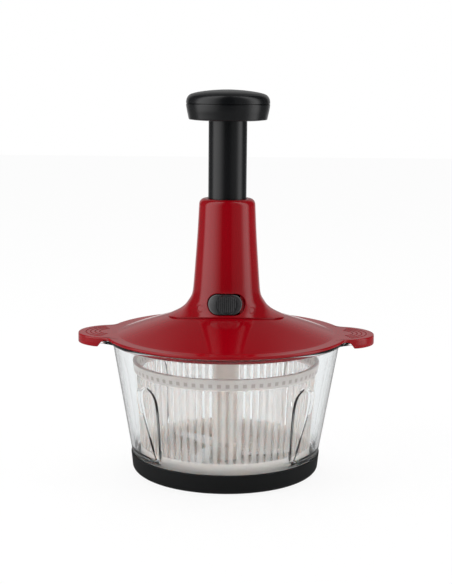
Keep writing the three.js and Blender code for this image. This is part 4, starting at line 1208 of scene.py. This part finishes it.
# %% Bend the hook behind it
hook_inner, hook_outer = 20.5, 23.5
hook_low_z, hook_high_z = 138.75, 141.25
hook_section = rounded([(hook_inner, hook_low_z, 0.3), (hook_outer, hook_low_z, 0.3),
                        (hook_outer, hook_high_z, 0.3), (hook_inner, hook_high_z, 0.3)])
latch_hook = capped("latch_hook_charcoal", [
    [(radius * cos(a) + button_rest_x, radius * sin(a), z) for radius, z in hook_section]
    for a in evenly(2.0, 4.8, 40)])

# %% [markdown]
# ## Plunger and knob
# The palm knob is two turned shells that meet at a seam, on a black tube with a stop collar. Soft
# curves matter here, because a satin knob shows every change of slope in its highlights.

# %% Turn the knob and its tube
seam_z = knob_under_z + 12.8
knob_radius = 32.8
belly = smooth_through([(30.9, 283.4), (31.5, 286.2), (32.1, 288.9), (32.5, 291.3), (knob_radius, 293.6)], 5)
knob_base = turned("knob_base_black", rounded([
    (15.4, knob_under_z, 0.4), (25.0, knob_under_z, 8.0), (30.65, 282.3, 0.7), *belly,
    (knob_radius, seam_z - 0.35), (knob_radius - 0.12, seam_z - 0.08), (knob_radius - 0.4, seam_z),
    (30.4, seam_z, 0.2), (30.4, 290.4), (27.8, 284.0, 1.5), (17.8, 284.0, 0.6),
    (17.8, 290.3, 0.3), (1.55, 290.3), (1.55, 287.3), (15.4, 287.3)]))
crown = smooth_through([
    (32.8, 294.9), (32.76, 296.2), (32.5, 297.7), (31.9, 299.3), (30.8, 300.8), (29.2, 301.9), (26.0, 302.9),
    (21.0, 303.9), (13.0, 304.9), (5.0, 305.42), (0.0, 305.5)], 7)
knob_cap = turned("knob_cap_black", [
    (32.4, seam_z + 0.3), (32.68, seam_z + 0.38), *crown, (0.0, 303.1), (12.6, 303.1), (27.7, 300.4),
    (27.7, 292.2), (30.1, 292.2), (30.1, seam_z + 0.3)])
plunger_tube = turned("plunger_tube_black", rounded([
    (12.5, 193.35, 0.3), (20.2, 193.35, 0.4), (20.2, 196.35, 0.4), (15.1, 196.35, 0.4), (15.1, 287.0, 0.3),
    (1.55, 287.0), (1.55, 284.0), (12.5, 284.0)]))
tell(knob_base, knob_cap, plunger_tube)

# %% [markdown]
# ## Mechanism under the dome
# These pieces show only from below, through the bowl, or when the lid is off. Most of them are turned,
# so they share one list of profiles. The four posts and the four screws of the cover stand on one
# circle, and the tree repeats the posts.

# %% Turn the small parts
small_profiles = {
    "lid_seal": [
        (86.6, 107.5, 0.2), (87.35, 107.5, 0.3), (88.0, 108.4, 0.4), (87.35, 109.3, 0.3), (86.6, 109.3, 0.2)],
    "guide_bush": [
        (15.4, 196.65, 0.4), (20.3, 196.65, 0.3), (19.75, 206.0), (19.6, 215.4), (19.6, 216.9, 0.4),
        (15.4, 216.9, 0.4)],
    "spindle_bush": [
        (4.4, 112.5, 0.2), (6.5, 112.5, 0.3), (6.5, 121.3, 0.2), (8.6, 121.3, 0.3), (8.6, 122.8, 0.3),
        (4.4, 122.8, 0.3)],
    "thrust_washer": [(4.4, 123.1, 0.1), (8.0, 123.1, 0.15), (8.0, 124.1, 0.15), (4.4, 124.1, 0.1)],
    "mechanism_cover": [
        (6.8, 112.5, 0.3), (9.0, 112.5, 0.5), (9.0, 115.0, 0.8), (36.0, 115.0, 1.2), (36.0, 126.1, 0.4),
        (34.0, 126.4, 0.4), (34.0, 118.0, 1.5), (9.0, 118.0, 0.8), (9.0, 121.0, 0.4), (6.8, 121.0, 0.3)],
}
small_parts = {name: turned(f"{name}_part", rounded(profile), 120)
               for name, profile in small_profiles.items()}
tell(*small_parts.values())


# %% Turn the screws and the posts
def moved(piece, x, y):
    piece.data.transform(Matrix.Translation((x * mm, y * mm, 0.0)))
    return piece


def cover_screw(name, x, y):
    seat_z = 114.7
    return moved(turned(name, rounded([
        (0.0, seat_z - 1.0), (0.7, seat_z - 1.0), (0.9, seat_z - 1.8, 0.1), (1.9, seat_z - 1.75, 0.5),
        (2.6, seat_z - 0.9, 0.4), (2.6, seat_z, 0.1), (1.25, seat_z, 0.1), (1.25, seat_z + 9.6, 0.2),
        (0.0, seat_z + 10.0)]), 32), x, y)


post_circle = 28.0
post_places = [(post_circle * cos(a), post_circle * sin(a)) for a in [pi / 4 + pi / 2 * i for i in range(4)]]
cover_screws = {f"cover_screw_{i + 1}": cover_screw(f"cover_screw_{i + 1}_part", x, y)
                for i, (x, y) in enumerate(post_places)}
post = moved(turned("lid_posts_red", rounded([
    (1.55, 118.3, 0.2), (3.2, 118.3, 0.3), (3.3, 129.6), (1.55, 129.6)]), 32), *post_places[0])
lid_posts = repeated(post, 4, finishes["red_plastic"])

# %% Twist the spiral rod
rod_lead, rod_low_z, rod_high_z = 40.0, 126.2, 204.35
rod_sunk, rod_steps, rod_tip_size = 0.5, 120, 0.8
rod_half_width, rod_half_thickness = 4.2, 1.8
half_strip = [(rod_half_width, -1.2), (rod_half_width, 1.2), (3.9, 1.65), (3.3, rod_half_thickness),
              (0.0, rod_half_thickness), (-3.3, rod_half_thickness), (-3.9, 1.65)]
strip = half_strip + [(-x, -y) for x, y in half_strip]
strip_rings = []
for z in evenly(rod_low_z - rod_sunk, rod_high_z, rod_steps):
    turn = tau * (z - rod_low_z) / rod_lead
    size = 1.0 if z < rod_high_z else rod_tip_size
    strip_rings.append([(*turned_by(size * x, size * y, turn), z) for x, y in strip])
spiral = capped("spiral_rod_steel", strip_rings)

# %% Turn what sits on its lower end
journal = turned("rod_journal_steel", rounded([
    (0.0, 104.3), (4.0, 104.3, 0.5), (4.0, 124.4, 0.3), (7.0, 124.4, 0.3), (7.0, 126.2, 0.3),
    (0.0, 126.2)]), 64)
coupler = turned("drive_coupler_white", rounded([
    (0.0, 101.2), (6.2, 101.5, 0.4), (9.0, 101.5, 0.6), (9.0, 112.1, 0.6), (4.3, 112.1, 0.4), (4.3, 104.0),
    (0.0, 104.0)]), 64)
hexagon = turned("coupler_hexagon_white", [
    (0.0, 87.5), (4.3, 87.5), (4.9, 88.3), (4.9, 101.8), (0.0, 101.8)], 6)

# %% Wind the return spring
# The curve primitive winds the helix, and its wire follows it from one seat to the other
wound, graph, given = node_tree("wound_wire", [
    ("Turns", "Float"), ("Height", "Float"), ("Radius", "Float"), ("Wire", "Float"), ("Base", "Float")])
helix = graph.node("GeometryNodeCurveSpiral", None, {
    "Resolution": 48, "Rotations": given["Turns"], "Height": given["Height"],
    "Start Radius": given["Radius"], "End Radius": given["Radius"]})
lift = graph.node("ShaderNodeCombineXYZ", None, {"Z": given["Base"]})
placed = graph.node("GeometryNodeSetPosition", None, {"Geometry": helix, "Offset": lift})
wire = graph.node("GeometryNodeCurvePrimitiveCircle", None, {"Resolution": 10, "Radius": given["Wire"]})
tube = graph.node("GeometryNodeCurveToMesh", None, {
    "Curve": placed, "Profile Curve": wire, "Fill Caps": True})
real = graph.node("GeometryNodeRealizeInstances", None, {"Geometry": smoothed(graph, tube)})
end_tree(graph, given, real)
wire_radius, spring_radius, seat_gap = 0.6, 13.6, 0.05
spring_low_z, spring_high_z = 118.3, 191.0
end_reach = wire_radius + seat_gap
spring = grown(build("return_spring_wire", [], []), wound, Turns=8.0, Radius=spring_radius * mm,
               Wire=wire_radius * mm, Base=(spring_low_z + end_reach) * mm,
               Height=(spring_high_z - spring_low_z - 2 * end_reach) * mm, Finish=finishes["steel"])
tell(spring)

# %% [markdown]
# ## Fine detail on the lid
# Each ear carries four raised arcs for the fingertips, and two small plain marks beside the lock show
# its two ends. The arcs share one centre and grow by a fixed step, so a tree lays them out.

# %% Grow the finger arcs on the ears
arcs_tree, graph, given = node_tree("finger_arcs", [
    ("Count", "Int"), ("First", "Float"), ("Pitch", "Float"), ("Span", "Float"), ("Width", "Float"),
    ("Height", "Float")])
arc = graph.node("GeometryNodeCurveArc", {"mode": "RADIUS"}, {
    "Resolution": 49, "Radius": 1.0, "Start Angle": given["Span"] * -0.5, "Sweep Angle": given["Span"]})
row, index = row_of(graph, given)
reach = index * given["Pitch"] + given["First"]
size = graph.node("ShaderNodeCombineXYZ", None, {"X": reach, "Y": reach, "Z": 1.0})
real = real_copies(graph, row, arc, Scale=size)
bead = graph.node("GeometryNodeCurvePrimitiveCircle", None, {"Resolution": 12, "Radius": given["Width"]})
beads = graph.node("GeometryNodeCurveToMesh", None, {"Curve": real, "Profile Curve": bead, "Fill Caps": True})
flat = graph.node("ShaderNodeCombineXYZ", None, {"X": 1.0, "Y": 1.0, "Z": given["Height"] / given["Width"]})
squat = graph.node("GeometryNodeTransform", None, {"Geometry": beads, "Scale": flat})
end_tree(graph, given, smoothed(graph, squat))
# The arcs take the darker red, whose colour is painted shade
ear_arcs = []
for name, azimuth in (("right", 0.0), ("left", pi)):
    arcs = grown(build(f"ear_arcs_{name}_red", [], []), arcs_tree, Count=4, First=11.05 * mm, Pitch=3.6 * mm,
                 Span=2.4, Width=0.45 * mm, Height=0.2 * mm, Finish=shaded_dull_red)
    on_ear = Matrix.Translation((ear_centre * mm, 0.0, flange_top_z * mm))
    arcs.data.transform(Matrix.Rotation(azimuth, 4, "Z") @ on_ear)
    ear_arcs.append(arcs)
tell(*ear_arcs)

# %% Two plain marks beside the lock
# Each mark is a raised line laid on the neck's own surface: an open ring on the left, a closed one right
line_section = [(-0.42, -0.25), (-0.36, 0.05), (-0.16, 0.2), (0.16, 0.2), (0.36, 0.05), (0.42, -0.25)]


def raised_line(name, centre_x, centre_z, radius, opening):
    rings = [[neck_front(centre_x + (radius + across) * cos(a), centre_z + (radius + across) * sin(a), height)
              for across, height in line_section] for a in evenly(opening, tau - opening, 40)]
    return capped(name, rings) if opening else skin(name, rings[:-1], wrap=True)


neck_marks = [raised_line("open_mark_red", -20.6, 136.2, 2.3, 0.9),
              raised_line("closed_mark_red", 19.9, 135.2, 2.1, 0.0)]
tell(*neck_marks)

# %% [markdown]
# ## Put every piece on its body
# Each smooth piece rides on the body of the solid that it stands for, takes its slot in the record, and
# hides that solid. Solids that nothing shows keep their shape and get a real finish.

# %% Bodies, slots and replaced solids
dressed = [
    (base_ring, "base", "base_ring"), (bowl, "bowl", "bowl"), (pin, "bowl", "bowl_pivot_pin"),
    (basket, "basket", "basket"), (column, "rotor", "blade_column"), (core, "rotor", "column_core"),
    *[(piece, "rotor", node) for piece, node in zip(blades, ("blade_lower", "blade_middle", "blade_upper"))],
    (lid, "lid", "lid_dome"), (neck, "lid", "neck_housing"), (lock_button, "lock", "lock_button"),
    (latch_hook, "lock", "latch_hook"), (knob_base, "plunger", "knob_base"),
    (knob_cap, "plunger", "knob_cap"), (plunger_tube, "plunger", "plunger_tube"),
    (spiral, "spindle", "spiral_rod"), (coupler, "spindle", "drive_coupler"),
    (spring, "plunger", "return_spring"),
    *[(piece, "lid", name) for name, piece in {**small_parts, **cover_screws}.items()],
]
extras = [
    (lock_ribs, "lock", "lock_button"), (lid_posts, "lid", "lid_dome"),
    (journal, "spindle", "spiral_rod"), (hexagon, "spindle", "drive_coupler"),
    *[(arcs, "lid", "lid_dome") for arcs in ear_arcs],
    *[(piece, "lid", "neck_housing") for piece in slot_ledges + neck_marks]]
own_finish = {column.name: milky_column, **{arcs.name: shaded_dull_red for arcs in ear_arcs}}
slot_of = {row["node"]: row["material_slot"] for row in frame["record"]["subparts"]}
sharp_angle = 38


def paint(item, material):
    item.data.materials.clear()
    item.data.materials.append(material)


for piece, body, node in dressed + extras:
    paint(piece, own_finish.get(piece.name, finishes[slot_of[node]]))
    piece.data.set_sharp_from_angle(angle=radians(sharp_angle))
    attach(piece, body)
for piece, body, node in dressed:
    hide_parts(node)
kept_nodes = sorted(set(frame["nodes"]) - {node for _, _, node in dressed})
for name in kept_nodes:
    paint(frame["nodes"][name], finishes[slot_of[name]])
print("kept solids:", ", ".join(kept_nodes))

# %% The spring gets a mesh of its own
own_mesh(spring)

# %% [markdown]
# ## Studio
# The photograph was taken on white, with a wide soft light on the left, a narrow strip on the right and
# darkness near the camera. Gloss shows what surrounds it, so the world paints those lights by direction
# for reflections alone, while lamps and an even world light the colours. The clear bowl keeps the lamps
# out, so light that reaches the inside through it is raised. The floor is white to the camera and
# keeps a faint shadow.

# %% The ring of soft lights that gloss reflects
# Azimuth 0 is the photographer's side, and negative angles lie to the left of the picture
side_stops = [
    (-180, 0.45), (-165, 0.42), (-150, 0.2), (-136, 0.03), (-102, 0.08), (-92, 0.95), (-76, 1.0), (-56, 0.85),
    (-44, 0.6), (-32, 0.3), (-18, 0.02), (14, 0.01), (22, 0.09), (54, 0.16), (62, 0.4), (70, 0.85), (86, 1.0),
    (93, 0.6), (101, 0.04), (136, 0.03), (150, 0.2), (165, 0.42), (180, 0.45)]
light_level = 1.78


def ring_of_lights(graph, east, north):
    azimuth = graph.maths("ARCTAN2", east, 0.0 - north) / tau + 0.5
    stops = [(0.5 + angle / 360, level) for angle, level in side_stops]
    return graph.node("ShaderNodeValToRGB", {"stops": stops}, {0: azimuth}) * light_level


# Whether a ray comes from gloss or through something clear, and whether it was ever scattered or inside
def ray_kinds(graph):
    rays = graph.node("ShaderNodeLightPath").socket.node.outputs
    kinds = [Wire(graph, rays[name]) for name in ("Is Glossy Ray", "Is Transmission Ray")]
    depths = [Wire(graph, rays[name]) for name in ("Diffuse Depth", "Transmission Depth")]
    return kinds + [graph.maths("MINIMUM", depth, 1.0) for depth in depths]


# %% World
# A ray that ends behind the object after it went through the bowl sees plain white
white = (1.0, 1.0, 1.0, 1.0)
back_stops = [(-10, 0.3), (2, 0.28), (5, 0.28), (8, 0.38), (14, 0.34), (30, 0.12), (50, 0.1), (90, 0.1)]
inside_lift = 0.12
world = bpy.data.worlds.new("studio")
bpy.context.scene.world = world
graph = blank_graph(world)
east, north, up = graph.axes(graph.node("ShaderNodeTexCoord", out=0))
back_wall = graph.node("ShaderNodeValToRGB", {
    "stops": [(0.5 + sin(radians(angle)) / 2, level) for angle, level in back_stops]}, {0: up * 0.5 + 0.5})
behind = graph.smooth_climb(north / (east * east + north * north) ** 0.5, 0.88, 0.985)
mirrored = ring_of_lights(graph, east, north) * (1.0 - behind) + back_wall * behind
glossy, clear, scattered, inside = ray_kinds(graph)
through = graph.smooth_climb(north, -0.1, 0.5) * inside
reflected = (mirrored + inside * inside_lift) * (1.0 - through) + through
direct = reflected * glossy + (1.0 - glossy)
even = graph.climb(north, -0.6, 0.9, 0.4, 1.2)
inner = graph.climb(north, -0.5, 0.95, 2.0, 6.2)
shown = direct * (1.0 - scattered) + (even * (1.0 - clear) + inner * clear) * scattered
background = graph.node("ShaderNodeBackground", None, {"Color": white, "Strength": shown})
graph.node("ShaderNodeOutputWorld", None, {"Surface": background})

# %% Floor
# The ring of lights also shows in the far floor, so that gloss near the foot does not mirror pure white
floor_half = 4000.0
paper_colour = (0.95, 0.95, 0.95, 1.0)
near_level, outside_level, glow_share = 0.2, 2.3, 0.9
corners = ((-1, -1), (1, -1), (1, 1), (-1, 1))
floor = build("floor", [(x * floor_half, y * floor_half, 0.0) for x, y in corners], [(0, 1, 2, 3)])
paper = bpy.data.materials.new("white paper floor")
graph = blank_graph(paper)
glossy, clear, scattered, inside = ray_kinds(graph)
east, north, up = graph.axes(graph.node("ShaderNodeTexCoord", out=3))
reach = (east * east + north * north) ** 0.5
far = graph.smooth_climb(reach + east / reach * 0.1, 0.42, 1.0)
through = graph.smooth_climb(north, -0.05, 0.1) * inside
mirrored = (ring_of_lights(graph, east, north) * far + (1.0 - far) * near_level) * (1.0 - through) + through
direct = (mirrored * glossy + (1.0 - glossy)) * (1.0 - scattered)
outside = graph.smooth_climb(reach, 0.08, 0.13) * scattered * clear
matt = graph.node("ShaderNodeBsdfDiffuse", None, {"Color": paper_colour})
glow = graph.node("ShaderNodeEmission", None, {"Color": white, "Strength": direct + outside * outside_level})
blend = graph.node("ShaderNodeMixShader", None, {
    0: (1.0 - scattered + outside) * glow_share, 1: matt, 2: glow})
graph.node("ShaderNodeOutputMaterial", None, {"Surface": blend})
floor.data.materials.append(paper)

# %% Lamps
lamp_aim = Vector((0.0, 0.0, 0.13))


def soft_lamp(name, size, place, power):
    light = bpy.data.lights.new(name, "AREA")
    light.shape = "RECTANGLE"
    light.size, light.size_y = size
    light.energy = power
    lamp = bpy.data.objects.new(name, light)
    lamp.location = place
    lamp.rotation_euler = (lamp_aim - Vector(place)).to_track_quat("-Z", "Y").to_euler()
    lamp.visible_glossy = lamp.visible_transmission = lamp.visible_camera = False
    bpy.context.scene.collection.objects.link(lamp)


soft_lamp("large soft lamp", (1.2, 1.0), (-1.55, -0.6, 0.9), 12.5)
soft_lamp("strip lamp", (0.3, 1.0), (1.45, -0.45, 0.75), 5.5)
soft_lamp("top lamp", (1.0, 1.0), (0.0, 0.3, 1.6), 5.0)
print("lights:", len(bpy.data.lights))

# %% Camera at the photograph's angle
camera_drop, camera_roll = 9.51, 0.5
photo_height = 584
shift_right, shift_up = -0.5, 0.8
camera = bpy.data.objects.new("camera", bpy.data.cameras.new("camera"))
camera.data.lens = 81.3
camera.data.sensor_width = 36.0
camera.data.clip_end = 20.0
camera.location = (0.0, -1.039, 0.319)
camera.rotation_euler = Matrix.Rotation(radians(90 - camera_drop), 3, "X").to_euler()
camera.rotation_euler.rotate_axis("Z", radians(camera_roll))
camera.data.shift_x = shift_right / photo_height
camera.data.shift_y = shift_up / photo_height
bpy.context.scene.collection.objects.link(camera)
bpy.context.scene.camera = camera
bpy.context.scene.view_settings.view_transform = "Standard"
